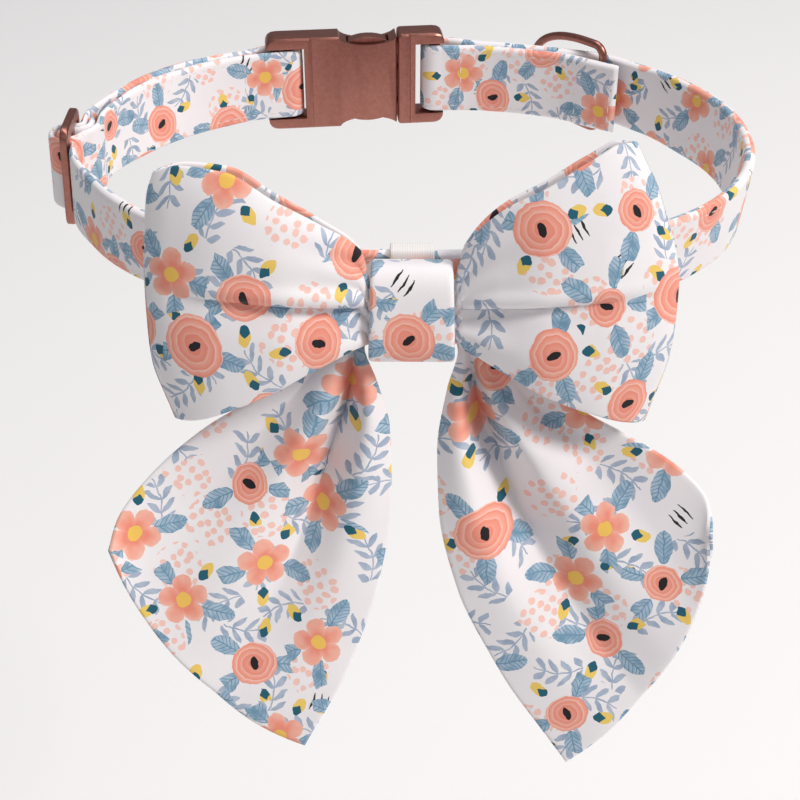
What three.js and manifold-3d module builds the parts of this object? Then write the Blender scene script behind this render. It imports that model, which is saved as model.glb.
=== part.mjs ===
// A small dog's collar: printed cloth over webbing, a sailor bow on its front, cast metal fittings.
// Millimetres. +Z is the axis of the neck, -Y the front, where the bow sits. Origin: middle of the neck.
import * as THREE from 'three';
import Module from 'manifold-3d';
import { mergeVertices } from 'three/addons/utils/BufferGeometryUtils.js';

const wasm = await Module();
wasm.setup();

// Driving dimensions.

const play = 0.35; // air left between pieces
const loop = { halfWidth: 84.5, halfDepth: 58.5, squareness: 2.15, samples: 1440 };
const strap = {
  width: 20, thickness: 2.8, folded: 2.2, pressed: 1.6, edge: 0.7, edgeShare: 0.45, step: 8, shortest: 0.3,
};
// Lengths along the strap: its sewn end past the ring, how far a layer takes to settle beside a bar and
// beside the slider, where the layers become one, and how far it lies straight each way at the slider.
const run = { hem: 6.5, taper: 12, single: 30, settle: 28, front: 9, back: 11, sewnEnd: 10 };
const slider = {
  at: 0.75, out: 4, length: 16.4, width: 27.6, thick: 2.2, bar: 2.4, rail: 2.2, sideRail: 3.2, corner: 3,
  bevel: 0.35,
};
const buckle = {
  at: 0.537, sink: 1.6, width: 27.6, thick: 7, bevel: 0.5, corner: 2.6, joinCorner: 0.7,
  end: 25.5, joint: -12, prongBody: -17.2, socketBody: 14.5, prongBar: -23, socketBar: 19,
  barRadius: 1.6, barLength: 25.6, opening: 21.4, groove: { width: 0.7, depth: 0.45, inset: 1.4 },
};
const hollow = { end: 8.5, halfWidth: 11.9, halfThick: 2.2 };
const notch = { middle: -3.6, halfLength: 8.3, deep: 2.8 };
const arm = {
  inner: 7.4, outer: 11, halfThick: 1.8, tip: 3, button: { halfLength: 6.5, high: 2.8, from: 10 },
};
const tongue = { halfWidth: 3, halfThick: 1.4, tip: 6 };
const ring = {
  beforeBack: 55, raised: 0.7, wire: 2.3, sides: 8, halfWidth: 12.5, depth: 25.5, corner: 3.2,
  squareness: 2.5, lean: 18, steps: 22,
};
const bow = { front: 70.2, high: 1.4, tilt: 18, cloth: 1.6 };
const wing = { reach: 58, columns: 13, roundOff: 0.25, crease: { middle: 0.5, climb: 0.1, width: 3 } };
const tail = { rows: 26, columns: 15, endBulge: 6 };
const knot = {
  halfWidth: 9, halfHeight: 11.2, halfDepth: 7, middle: 0.5, wall: 2, squareness: 3.5, flare: 0.6,
  columns: [-1, -0.6, -0.2, 0.2, 0.6, 1],
};
const elastic = { width: 10, thickness: 1, squareness: 6, columns: [-1, 1] };
const bandSteps = 28;
const overlap = 1; // how far a cutter stands out of what it cuts

const cloth = { color: 0xf1e6e4, roughness: 0.85, metalness: 0 };
const roseMetal = { color: 0xc08a7c, roughness: 0.38, metalness: 1 };
const whiteElastic = { color: 0xf2f0ec, roughness: 0.9, metalness: 0 };

// Small helpers.

const vec = (x, y, z) => new THREE.Vector3(x, y, z);
const radians = THREE.MathUtils.degToRad;
const mix = THREE.MathUtils.lerp;
const ease = (t) => t * t * (3 - 2 * t);
const power = (value, exponent) => Math.sign(value) * Math.abs(value) ** exponent;

// A table's columns at a place between its rows, on a smooth curve through them that never overshoots;
// `key` is the column that rises from row to row.
function readTable(rows, key, place) {
  const last = rows.length - 1;
  const spot = THREE.MathUtils.clamp(place, rows[0][key], rows[last][key]);
  const i = Math.max(rows.findIndex((row) => row[key] >= spot), 1);
  const [low, high] = [rows[i - 1], rows[i]];
  const gap = high[key] - low[key];
  const t = (spot - low[key]) / gap;
  const slope = (k, name) => (rows[k][name] - rows[k - 1][name]) / (rows[k][key] - rows[k - 1][key]);
  const bend = (k, name) => {
    const [before, after] = [slope(Math.max(k, 1), name), slope(Math.min(k + 1, last), name)];
    return before * after > 0 ? (2 * before * after) / (before + after) : 0;
  };
  const value = (name) => mix(low[name], high[name], ease(t))
    + gap * t * (1 - t) * ((1 - t) * bend(i - 1, name) - t * bend(i, name));
  return Object.fromEntries(Object.keys(low).map((name) => [name, value(name)]));
}

// Turns a closed geometry's triangles to face out of it.
function facingOut(geometry) {
  const position = geometry.getAttribute('position');
  const corner = (i) => new THREE.Vector3().fromBufferAttribute(position, geometry.index.getX(i));
  let volume = 0;
  for (let i = 0; i < geometry.index.count; i += 3) {
    volume += corner(i).dot(corner(i + 1).cross(corner(i + 2)));
  }
  if (volume < 0) geometry.index.array.reverse();
  return geometry;
}

function geometryOf(points, triangles) {
  const geometry = new THREE.BufferGeometry();
  const numbers = points.flatMap((point) => point.toArray());
  geometry.setAttribute('position', new THREE.Float32BufferAttribute(numbers, 3));
  geometry.setIndex(triangles);
  return facingOut(geometry);
}

// A wall between two grids of points, front[i][j] and back[i][j]; `closed` joins the last row to the first.
function wallSolid(front, back, closed) {
  const rows = front.length;
  const columns = front[0].length;
  const at = (side, i, j) => (side * rows + (i % rows)) * columns + j;
  const triangles = [];
  const quad = (a, b, c, d) => triangles.push(a, b, c, a, c, d);
  for (let i = 0; i < rows - (closed ? 0 : 1); i += 1) {
    for (let j = 0; j < columns - 1; j += 1) {
      quad(at(0, i, j), at(0, i + 1, j), at(0, i + 1, j + 1), at(0, i, j + 1));
      quad(at(1, i, j), at(1, i, j + 1), at(1, i + 1, j + 1), at(1, i + 1, j));
    }
    const end = columns - 1;
    quad(at(0, i, 0), at(1, i, 0), at(1, i + 1, 0), at(0, i + 1, 0));
    quad(at(0, i, end), at(0, i + 1, end), at(1, i + 1, end), at(1, i, end));
  }
  for (let j = 0; j < columns - 1 && !closed; j += 1) {
    const end = rows - 1;
    quad(at(0, 0, j), at(0, 0, j + 1), at(1, 0, j + 1), at(1, 0, j));
    quad(at(0, end, j), at(1, end, j), at(1, end, j + 1), at(0, end, j + 1));
  }
  return geometryOf([...front.flat(), ...back.flat()], triangles);
}

// A cloth of even thickness about a grid of middle points.
function clothSolid(middle, thickness, closed) {
  const last = middle.length - 1;
  const rowAt = (i) => middle[closed ? (i + last + 1) % (last + 1) : THREE.MathUtils.clamp(i, 0, last)];
  const side = (sign) => middle.map((row, i) => row.map((point, j) => {
    const along = rowAt(i + 1)[j].clone().sub(rowAt(i - 1)[j]);
    const across = row[Math.min(j + 1, row.length - 1)].clone().sub(row[Math.max(j - 1, 0)]);
    return point.clone().add(along.cross(across).setLength((sign * thickness) / 2));
  }));
  return wallSolid(side(1), side(-1), closed);
}

// A round wire along a closed line in the XY plane.
function wireSolid(line, radius, sides) {
  const points = [];
  const triangles = [];
  line.forEach((point, i) => {
    const before = line[(i + line.length - 1) % line.length];
    const after = line[(i + 1) % line.length];
    const ahead = after.clone().sub(before).normalize();
    const sideways = vec(ahead.y, -ahead.x, 0);
    for (let k = 0; k < sides; k += 1) {
      const turn = (2 * Math.PI * (k + 0.5)) / sides;
      const offset = sideways.clone().multiplyScalar(Math.cos(turn)).setZ(Math.sin(turn));
      points.push(point.clone().addScaledVector(offset, radius));
      const next = (i + 1) % line.length;
      const [a, b] = [i * sides + k, i * sides + ((k + 1) % sides)];
      const [c, d] = [next * sides + ((k + 1) % sides), next * sides + k];
      triangles.push(a, b, c, a, c, d);
    }
  });
  return geometryOf(points, triangles);
}

// A solid for cutting and joining, and its geometry.
function solidOf(geometry) {
  const bare = geometry.clone();
  bare.deleteAttribute('normal');
  bare.deleteAttribute('uv');
  const merged = mergeVertices(bare, 1e-4);
  return new wasm.Manifold(new wasm.Mesh({
    numProp: 3,
    vertProperties: new Float32Array(merged.attributes.position.array),
    triVerts: new Uint32Array(merged.index.array),
  }));
}

function geometryFrom(solid) {
  const mesh = solid.getMesh();
  const geometry = new THREE.BufferGeometry();
  geometry.setAttribute('position', new THREE.BufferAttribute(new Float32Array(mesh.vertProperties), 3));
  geometry.setIndex(new THREE.BufferAttribute(new Uint32Array(mesh.triVerts), 1));
  return geometry;
}

// A block between two places along X, Y and Z.
function block(x, y, z) {
  const box = new THREE.BoxGeometry(x[1] - x[0], y[1] - y[0], z[1] - z[0]);
  return solidOf(box.translate((x[0] + x[1]) / 2, (y[0] + y[1]) / 2, (z[0] + z[1]) / 2));
}

// A plate about z = 0 whose corners are rounded by `low` at its low end and `high` at its high end.
function plate(x, width, low, high, thick, bevel) {
  const [left, right, side] = [x[0] + bevel, x[1] - bevel, width / 2 - bevel];
  const shape = new THREE.Shape();
  shape.moveTo(left + low, -side);
  shape.lineTo(right - high, -side);
  shape.quadraticCurveTo(right, -side, right, high - side);
  shape.lineTo(right, side - high);
  shape.quadraticCurveTo(right, side, right - high, side);
  shape.lineTo(left + low, side);
  shape.quadraticCurveTo(left, side, left, side - low);
  shape.lineTo(left, low - side);
  shape.quadraticCurveTo(left, -side, left + low, -side);
  const depth = thick - 2 * bevel;
  const bevels = { bevelEnabled: true, bevelSize: bevel, bevelThickness: bevel, bevelSegments: 1 };
  return solidOf(new THREE.ExtrudeGeometry(shape, { depth, curveSegments: 4, ...bevels })
    .translate(0, 0, -depth / 2));
}

// An upright round or oval post along Z, and a round bar along Y.
function post(x, y, halfLength, halfWidth, halfThick) {
  const round = new THREE.CylinderGeometry(1, 1, 2 * halfThick, 28).rotateX(Math.PI / 2);
  return solidOf(round.scale(halfLength, halfWidth, 1).translate(x, y, 0));
}

function crossBar(x, radius, length) {
  return solidOf(new THREE.CylinderGeometry(radius, radius, length, 14).translate(x, 0, 0));
}

function part(name, geometry, material) {
  const mesh = new THREE.Mesh(geometry, new THREE.MeshStandardMaterial(material));
  mesh.name = name;
  return mesh;
}

// The neck line.

// The line that the middle of the strap follows, from the front centre towards +X, with its length so far.
const neckLine = [{ x: 0, y: -loop.halfDepth, length: 0 }];
for (let i = 1; i <= loop.samples; i += 1) {
  const turn = (2 * Math.PI * i) / loop.samples;
  const x = loop.halfWidth * power(Math.sin(turn), 2 / loop.squareness);
  const y = -loop.halfDepth * power(Math.cos(turn), 2 / loop.squareness);
  const before = neckLine[i - 1];
  neckLine.push({ x, y, length: before.length + Math.hypot(x - before.x, y - before.y) });
}
const neckLength = neckLine[loop.samples].length;

// How far the strap's upper edge leans outwards, in degrees, round the neck from the front centre.
const leanRows = [
  { share: 0, lean: 3 }, { share: 0.2, lean: 6 }, { share: 0.3, lean: 6 }, { share: 0.37, lean: 0 },
  { share: 0.6, lean: 0 }, { share: 0.66, lean: 5 }, { share: 0.72, lean: -3 }, { share: 0.78, lean: -3 },
  { share: 0.88, lean: 3 }, { share: 1, lean: 3 },
];

// The place at a length along the neck line, with the directions ahead, outwards and up the strap.
function neckAt(length) {
  const wrapped = THREE.MathUtils.euclideanModulo(length, neckLength);
  const i = Math.max(neckLine.findIndex((sample) => sample.length >= wrapped), 1);
  const [low, high] = [neckLine[i - 1], neckLine[i]];
  const t = (wrapped - low.length) / (high.length - low.length);
  const ahead = vec(high.x - low.x, high.y - low.y, 0).normalize();
  const outwards = vec(ahead.y, -ahead.x, 0);
  const lean = radians(readTable(leanRows, 'share', wrapped / neckLength).lean);
  const rise = outwards.clone().multiplyScalar(Math.sin(lean)).setZ(Math.cos(lean));
  return { point: vec(mix(low.x, high.x, t), mix(low.y, high.y, t), 0), ahead, outwards, rise };
}

// The nearest length along the neck line to a point, and how far outside the line the point is.
function ontoNeck(point) {
  const gap = (sample) => Math.hypot(point.x - sample.x, point.y - sample.y);
  const { length } = neckLine.reduce((best, sample) => (gap(sample) < gap(best) ? sample : best));
  const { point: foot, outwards } = neckAt(length);
  return { length, out: point.clone().sub(foot).dot(outwards) };
}

// A fitting's frame: X ahead along the neck line, Y up the strap, Z out of the neck.
function fittingPlace(length, out) {
  const { point, ahead, outwards, rise } = neckAt(length);
  const place = new THREE.Matrix4().makeBasis(ahead, rise, ahead.clone().cross(rise));
  return place.setPosition(point.addScaledVector(outwards, out));
}

const sliderAt = slider.at * neckLength;
const sliderPlace = fittingPlace(sliderAt, slider.out);
const bucklePlace = fittingPlace(buckle.at * neckLength, -buckle.sink);
const ringAt = neckLength / 2 - ring.beforeBack;

// The strap's route.

const route = [];

// A stretch along the neck line, through rows of length, distance outside the line and thickness.
function followNeck(rows) {
  for (let k = 1; k < rows.length; k += 1) {
    const [from, to] = [rows[k - 1], rows[k]];
    const steps = Math.max(Math.round(Math.abs(to.length - from.length) / strap.step), 2);
    for (let i = 0; i <= steps; i += 1) {
      const { point, outwards, rise } = neckAt(mix(from.length, to.length, i / steps));
      point.addScaledVector(outwards, mix(from.out, to.out, ease(i / steps)));
      route.push({ point, rise, thickness: mix(from.thickness, to.thickness, i / steps) });
    }
  }
}

// A stretch in a fitting's own frame, through spots x along it and z out of it.
function followFitting(place, thickness, spots) {
  const rise = new THREE.Vector3().setFromMatrixColumn(place, 1);
  spots.forEach(({ x, z }) => route.push({ point: vec(x, 0, z).applyMatrix4(place), rise, thickness }));
}

// Spots on a turn about x and z, from one angle to another in degrees.
function turn(x, z, radius, from, to, steps) {
  return Array.from({ length: steps + 1 }, (unused, i) => {
    const angle = radians(mix(from, to, i / steps));
    return { x: x + radius * Math.cos(angle), z: z + radius * Math.sin(angle) };
  });
}

// A spot of a fitting as a row for followNeck; `laps` is 1 once the route has passed the front centre.
function rowAt(place, thickness, { x, z }, laps) {
  const { length, out } = ontoNeck(vec(x, 0, z).applyMatrix4(place));
  return { length: length - laps * neckLength, out, thickness };
}

const full = strap.thickness;
const layer = (full + play) / 2; // each of two layers lies this far from the neck line
const ringClear = ring.wire / 2 + play + full / 2;
const barTurn = buckle.barRadius + play + strap.folded / 2;

// 1. The folded end inside the neck, over the ring's bar, round the bar of the buckle's prong half,
// and back past the ring on the outside.
const prongIn = rowAt(bucklePlace, strap.folded, { x: buckle.prongBar - 2, z: -barTurn }, 0);
const prongOut = rowAt(bucklePlace, strap.folded, { x: buckle.prongBar - 2, z: barTurn }, 0);
followNeck([
  { length: ringAt - run.hem, out: -ringClear, thickness: full },
  { length: ringAt, out: -ringClear, thickness: full },
  { length: ringAt + run.taper, out: -layer, thickness: full },
  { length: prongIn.length - run.taper, out: -layer, thickness: full },
  prongIn,
]);
followFitting(bucklePlace, strap.folded, turn(buckle.prongBar, 0, barTurn, -90, 90, 8));
followNeck([
  prongOut,
  { length: prongOut.length - run.taper, out: layer, thickness: full },
  { length: ringAt + run.taper, out: layer, thickness: full },
  { length: ringAt, out: ringClear, thickness: full },
  { length: ringAt - run.taper, out: layer, thickness: full },
  { length: ringAt - run.single, out: 0, thickness: full },
]);

// 2. Single round the right side and the front, then through the slider: inside both its rails and
// over its middle bar, which the strap's other end already wraps.
const { pressed } = strap;
const sewnTurn = Math.hypot(slider.bar, slider.thick) / 2 + play + pressed / 2;
const overTurn = sewnTurn + pressed + play;
const railTurn = play + pressed / 2;
const rail = { x: slider.length / 2 - slider.rail, z: -slider.thick / 2 };
const overStrap = rail.z - railTurn;
const sewnEnd = overStrap - pressed - play;
const inner = sewnEnd - pressed - 1.5 * play;
const approach = { x: -2.6, z: inner + 1.3 }; // the sewn loop slopes up to the bar here
const leave = { x: -3.8, z: sewnEnd + 0.8, from: 200 }; // and leaves it here, past that angle
const sliderLength = sliderAt - neckLength;
followNeck([
  { length: ringAt - run.single, out: 0, thickness: full },
  { length: sliderLength + run.settle, out: 0, thickness: full },
  rowAt(sliderPlace, pressed, { x: run.front, z: overStrap }, 1),
]);
followFitting(sliderPlace, pressed, [
  ...turn(rail.x, rail.z, railTurn, -90, -180, 4),
  ...turn(0, 0, overTurn, 0, 180, 12),
  ...turn(-rail.x, rail.z, railTurn, 0, -90, 4),
]);

// 3. On to the bar of the buckle's socket half, round it, and back inside to the sewn loop.
const socketOut = rowAt(bucklePlace, strap.folded, { x: buckle.socketBar + 2, z: barTurn }, 1);
const socketIn = rowAt(bucklePlace, strap.folded, { x: buckle.socketBar + 2, z: -barTurn }, 1);
followNeck([
  rowAt(sliderPlace, pressed, { x: -run.back, z: overStrap }, 1),
  { length: sliderLength - run.settle, out: layer, thickness: full },
  { length: socketOut.length + run.taper, out: layer, thickness: full },
  socketOut,
]);
followFitting(bucklePlace, strap.folded, turn(buckle.socketBar, 0, barTurn, 90, 270, 8));
followNeck([
  socketIn,
  { length: socketIn.length + run.taper, out: -layer, thickness: full },
  { length: sliderLength - run.settle, out: -layer, thickness: full },
  rowAt(sliderPlace, pressed, { x: -run.back, z: inner }, 1),
]);
followFitting(sliderPlace, pressed, [
  { x: -rail.x, z: inner },
  approach,
  ...turn(0, 0, sewnTurn, -90, leave.from, 14),
  leave,
  { x: -rail.x, z: sewnEnd },
  { x: -run.sewnEnd, z: sewnEnd },
]);

// The strap as one solid: its section, thinner along both edges, carried along the route.
function strapSolid() {
  const stations = route.filter(({ point }, i) => i === 0
    || point.distanceTo(route[i - 1].point) > strap.shortest);
  const halfWidth = strap.width / 2;
  const columns = [
    { across: -halfWidth, share: strap.edgeShare }, { across: strap.edge - halfWidth, share: 1 },
    { across: halfWidth - strap.edge, share: 1 }, { across: halfWidth, share: strap.edgeShare },
  ];
  const side = (sign) => stations.map(({ point, rise, thickness }, i) => {
    const before = stations[Math.max(i - 1, 0)].point;
    const after = stations[Math.min(i + 1, stations.length - 1)].point;
    const arriving = (i ? point.clone().sub(before) : after.clone().sub(point)).normalize();
    const leaving = (i < stations.length - 1 ? after.clone().sub(point) : arriving.clone()).normalize();
    const normal = arriving.clone().add(leaving).normalize().cross(rise).normalize();
    const mitre = 1 / Math.sqrt((1 + arriving.dot(leaving)) / 2);
    return columns.map(({ across, share }) => point.clone().addScaledVector(rise, across)
      .addScaledVector(normal, (sign * share * thickness * mitre) / 2));
  });
  return wallSolid(side(1), side(-1), false);
}

// Metal fittings.

// A frame with a middle bar.
function sliderSolid() {
  const [end, side] = [slider.length / 2, slider.width / 2 - slider.sideRail];
  const { width, corner, thick, bevel } = slider;
  let solid = plate([-end, end], width, corner, corner, thick, bevel);
  [-1, 1].forEach((way) => {
    const x = [(way * slider.bar) / 2, way * (end - slider.rail)].sort((a, b) => a - b);
    solid = solid.subtract(block(x, [-side, side], [-thick, thick]));
  });
  return geometryFrom(solid);
}

// A shallow groove across both faces of a buckle half.
function groovesAt(x) {
  const { width, depth } = buckle.groove;
  const [side, face] = [buckle.width, buckle.thick / 2];
  return block([x, x + width], [-side, side], [face - depth, buckle.thick])
    .add(block([x, x + width], [-side, side], [-buckle.thick, depth - face]));
}

// The socket half: hollow, open towards the prongs, notched top and bottom for their buttons.
function socketSolid() {
  const { joint, end, width, thick, joinCorner, corner, bevel, socketBody, socketBar, groove } = buckle;
  const side = buckle.opening / 2;
  let solid = plate([joint + play / 2, end], width, joinCorner, corner, thick, bevel);
  solid = solid.subtract(block([socketBody, end + overlap], [-side, side], [-thick, thick]));
  solid = solid.subtract(block([joint - overlap, hollow.end], [-hollow.halfWidth, hollow.halfWidth],
    [-hollow.halfThick, hollow.halfThick]));
  [-1, 1].forEach((way) => {
    solid = solid.subtract(post(notch.middle, (way * width) / 2, notch.halfLength, notch.deep, thick));
  });
  solid = solid.subtract(groovesAt(socketBody - groove.inset - groove.width));
  return geometryFrom(solid.add(crossBar(socketBar, buckle.barRadius, buckle.barLength)));
}

// The prong half: two sprung arms with a button each, and a tongue between them.
function prongSolid() {
  const { joint, end, width, thick, joinCorner, corner, bevel, prongBody, prongBar, groove } = buckle;
  const side = buckle.opening / 2;
  let solid = plate([-end, joint - play / 2], width, corner, joinCorner, thick, bevel);
  solid = solid.subtract(block([-end - overlap, prongBody], [-side, side], [-thick, thick]));
  solid = solid.subtract(groovesAt(prongBody + groove.inset));
  solid = solid.add(crossBar(prongBar, buckle.barRadius, buckle.barLength));
  solid = solid.add(block([joint - overlap, tongue.tip], [-tongue.halfWidth, tongue.halfWidth],
    [-tongue.halfThick, tongue.halfThick]));
  [-1, 1].forEach((way) => {
    const y = [way * arm.inner, way * arm.outer].sort((a, b) => a - b);
    const { halfLength, high, from } = arm.button;
    solid = solid.add(block([joint - overlap, arm.tip], y, [-arm.halfThick, arm.halfThick]));
    solid = solid.add(post(notch.middle, way * from, halfLength, high, arm.halfThick));
  });
  return geometryFrom(solid);
}

// The leash ring: an upright bar, two rounded corners and a bowed front, soldered into one wire.
function ringSolid() {
  const line = [];
  const { halfWidth, depth, corner, squareness, steps } = ring;
  const reach = depth - corner;
  for (let i = 0; i <= steps; i += 1) {
    const angle = radians(mix(-90, 90, i / steps));
    const bulge = power(Math.cos(angle), 2 / squareness);
    line.push(vec(corner + reach * bulge, halfWidth * power(Math.sin(angle), 2 / squareness), 0));
  }
  const cornerTurn = (from) => turn(corner, 0, corner, from, from + 90, 4);
  cornerTurn(90).slice(1).forEach(({ x, z }) => line.push(vec(x, halfWidth - corner + z, 0)));
  cornerTurn(180).slice(0, -1).forEach(({ x, z }) => line.push(vec(x, corner - halfWidth + z, 0)));
  return wireSolid(line, ring.wire / 2, ring.sides);
}

// The bow.

// The bow's own frame: X to the side, Y up the bow, Z forwards. `out` is the distance from its middle.
// Heights and depths of each wing's front and back layers, and the depth of the crease in its front.
const leftWing = [
  { out: 0, top: 6.6, bottom: -6.4, front: 3.7, back: 1.6, crease: 0 },
  { out: 9.6, top: 7.4, bottom: -6.8, front: 3.8, back: 1.6, crease: 0.2 },
  { out: 11.5, top: 14.5, bottom: -7.2, front: 5.6, back: 1.2, crease: 2 },
  { out: 20, top: 20.5, bottom: -11, front: 9.5, back: 0.8, crease: 3.6 },
  { out: 30, top: 26, bottom: -16, front: 11.8, back: 0.6, crease: 3 },
  { out: 41, top: 32, bottom: -20.5, front: 11, back: 0.6, crease: 1.6 },
  { out: 52, top: 33, bottom: -24, front: 8, back: 1, crease: 0.4 },
  { out: 56.5, top: 32, bottom: -24.5, front: 5.4, back: 2.2, crease: 0 },
  { out: 58, top: 31.5, bottom: -24.5, front: 3.8, back: 3.8, crease: 0 },
];
const rightWing = [
  { out: 0, top: 6.6, bottom: -6.4, front: 3.7, back: 1.6, crease: 0 },
  { out: 9.6, top: 7.4, bottom: -6.8, front: 3.8, back: 1.6, crease: 0.2 },
  { out: 11.5, top: 15, bottom: -7.5, front: 5.6, back: 1.2, crease: 2 },
  { out: 20, top: 24, bottom: -12, front: 9.5, back: 0.8, crease: 3.6 },
  { out: 30, top: 29, bottom: -17, front: 11.8, back: 0.6, crease: 3 },
  { out: 41, top: 34.5, bottom: -21, front: 11, back: 0.6, crease: 1.6 },
  { out: 52, top: 38, bottom: -24, front: 8, back: 1, crease: 0.4 },
  { out: 56.5, top: 38, bottom: -24.5, front: 5.4, back: 2.2, crease: 0 },
  { out: 58, top: 38, bottom: -24.5, front: 3.8, back: 3.8, crease: 0 },
];
// How far each wing reaches at shares of its height from its lower edge.
const leftReach = [
  { height: 0, reach: 52.5 }, { height: 0.3, reach: 57.5 }, { height: 0.6, reach: 58 },
  { height: 0.9, reach: 56.4 }, { height: 1, reach: 54.6 },
];
const rightReach = [
  { height: 0, reach: 52 }, { height: 0.3, reach: 57 }, { height: 0.5, reach: 57.5 },
  { height: 0.78, reach: 53.5 }, { height: 1, reach: 47 },
];
const wingSteps = [0, 5, 9.4, 10.6, 12, 15, 19, 24, 30, 36, 42, 47, 51, 54, 56, 57.3, 58];

// A point of a wing's layer at a distance out and a share of its height.
function wingPoint(way, out, height, isFront) {
  const row = readTable(way < 0 ? leftWing : rightWing, 'out', out);
  const { reach } = readTable(way < 0 ? leftReach : rightReach, 'height', height);
  const shrink = mix(1, reach / wing.reach, (out / wing.reach) ** 2);
  const high = mix(row.bottom, row.top, height);
  const fromCrease = (high - wing.crease.middle - wing.crease.climb * out) / wing.crease.width;
  const roundOff = wing.roundOff * (row.front - row.back) * (2 * height - 1) ** 4;
  const front = row.front - roundOff - row.crease * Math.exp(-fromCrease * fromCrease);
  return vec(way * out * shrink, high, isFront ? front : row.back);
}

// Both wings: one ribbon closed on itself and pinched in the middle.
function wingsSolid() {
  const heights = Array.from({ length: wing.columns }, (unused, j) => j / (wing.columns - 1));
  const layerRows = (way, outs, isFront) => outs.map((out) => heights
    .map((height) => wingPoint(way, out, height, isFront)));
  const outwards = wingSteps.slice(1);
  const inwards = wingSteps.slice(0, -1).reverse();
  const middle = [
    ...layerRows(1, outwards, true), ...layerRows(1, inwards, false),
    ...layerRows(-1, outwards, false), ...layerRows(-1, inwards, true),
  ];
  return clothSolid(middle, bow.cloth, true);
}

// Each tail's two long edges, from the knot down to its cut end, and how far its cloth comes forwards.
const leftTail = [
  { down: 0, innerOut: 0.5, innerHigh: -6.4, outerOut: 0.5, outerHigh: 5.6, forward: -0.7, fold: 0 },
  { down: 0.1, innerOut: 9.6, innerHigh: -6.8, outerOut: 9.8, outerHigh: 4, forward: -0.8, fold: 0 },
  { down: 0.16, innerOut: 10.6, innerHigh: -10, outerOut: 16, outerHigh: -2, forward: -2, fold: 0.7 },
  { down: 0.24, innerOut: 8, innerHigh: -17, outerOut: 23, outerHigh: -10, forward: -2.6, fold: 2.8 },
  { down: 0.36, innerOut: 4.8, innerHigh: -28, outerOut: 34, outerHigh: -20, forward: -1.6, fold: 5.2 },
  { down: 0.52, innerOut: 4.4, innerHigh: -44, outerOut: 47, outerHigh: -28, forward: 0, fold: 4.2 },
  { down: 0.7, innerOut: 7.6, innerHigh: -65, outerOut: 59, outerHigh: -38, forward: 3, fold: 2.2 },
  { down: 0.86, innerOut: 14.5, innerHigh: -85, outerOut: 67, outerHigh: -48, forward: 6.5, fold: 1 },
  { down: 1, innerOut: 26, innerHigh: -105, outerOut: 69.5, outerHigh: -55, forward: 10, fold: 0.5 },
];
const rightTail = [
  { down: 0, innerOut: 0.5, innerHigh: -6.4, outerOut: 0.5, outerHigh: 5.6, forward: -0.7, fold: 0 },
  { down: 0.1, innerOut: 9.6, innerHigh: -6.8, outerOut: 9.8, outerHigh: 4, forward: -0.8, fold: 0 },
  { down: 0.16, innerOut: 10.4, innerHigh: -10.5, outerOut: 16, outerHigh: -3, forward: -2, fold: 0.7 },
  { down: 0.24, innerOut: 8, innerHigh: -19, outerOut: 24, outerHigh: -12, forward: -2.6, fold: 3 },
  { down: 0.36, innerOut: 6, innerHigh: -32, outerOut: 36, outerHigh: -22, forward: -1.6, fold: 5.6 },
  { down: 0.52, innerOut: 6.4, innerHigh: -47, outerOut: 49, outerHigh: -29, forward: 0, fold: 4.8 },
  { down: 0.7, innerOut: 11, innerHigh: -66, outerOut: 61, outerHigh: -36, forward: 3, fold: 2.8 },
  { down: 0.86, innerOut: 22, innerHigh: -87, outerOut: 68, outerHigh: -43, forward: 6.5, fold: 1.4 },
  { down: 1, innerOut: 37.5, innerHigh: -108, outerOut: 71, outerHigh: -52, forward: 10, fold: 0.5 },
];
// The folds across a tail, from its inner edge to its outer edge, as shares of the fold's depth.
const foldRows = [
  { across: 0, rise: 0.3 }, { across: 0.16, rise: 0.9 }, { across: 0.36, rise: -1.1 },
  { across: 0.56, rise: 0.7 }, { across: 0.78, rise: -0.3 }, { across: 1, rise: 0 },
];
// How far the corners of each cut end are rounded off, at its inner and its outer edge.
const leftCorners = { inner: 1.6, outer: 1.4 };
const rightCorners = { inner: 0.4, outer: 4.4 };

// One tail: cloth between its two edges, its cut end bowed outwards.
function tailSolid(way, rows, corners) {
  const middle = Array.from({ length: tail.rows }, (unused, i) => {
    const down = i / (tail.rows - 1);
    const row = readTable(rows, 'down', down);
    const edge = vec(row.outerOut - row.innerOut, row.outerHigh - row.innerHigh, 0);
    const below = vec(edge.y, -edge.x, 0).normalize();
    return Array.from({ length: tail.columns }, (alsoUnused, j) => {
      const across = j / (tail.columns - 1);
      const point = vec(row.innerOut, row.innerHigh, row.forward).addScaledVector(edge, across);
      const cut = down ** 8 * (corners.outer * across ** 8 + corners.inner * (1 - across) ** 8);
      point.addScaledVector(below, 4 * across * (1 - across) * tail.endBulge * down ** 4 - cut);
      point.z += row.fold * readTable(foldRows, 'across', across).rise;
      point.x *= way;
      return point;
    });
  });
  return clothSolid(middle, bow.cloth, false);
}

// A closed band: a rounded rectangle carried across `columns`, each with a place and a swelling.
function bandSolid(halfHigh, halfDeep, squareness, columns, placeOf, thickness) {
  const middle = Array.from({ length: bandSteps }, (unused, i) => {
    const angle = (2 * Math.PI * i) / bandSteps;
    const high = halfHigh * power(Math.sin(angle), 2 / squareness);
    const deep = halfDeep * power(Math.cos(angle), 2 / squareness);
    return columns.map((across) => placeOf(across, high, deep));
  });
  return clothSolid(middle, thickness, true);
}

// The knot: a band of cloth round the wings and tails, a little wider towards its lower edge.
function knotSolid() {
  const [high, deep] = [knot.halfHeight - knot.wall / 2, knot.halfDepth - knot.wall / 2];
  const place = (across, up, forward) => {
    const wide = knot.halfWidth + knot.flare * (0.5 - up / (2 * high));
    return vec(across * wide, up, knot.middle + forward);
  };
  return bandSolid(high, deep, knot.squareness, knot.columns, place, knot.wall);
}

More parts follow.
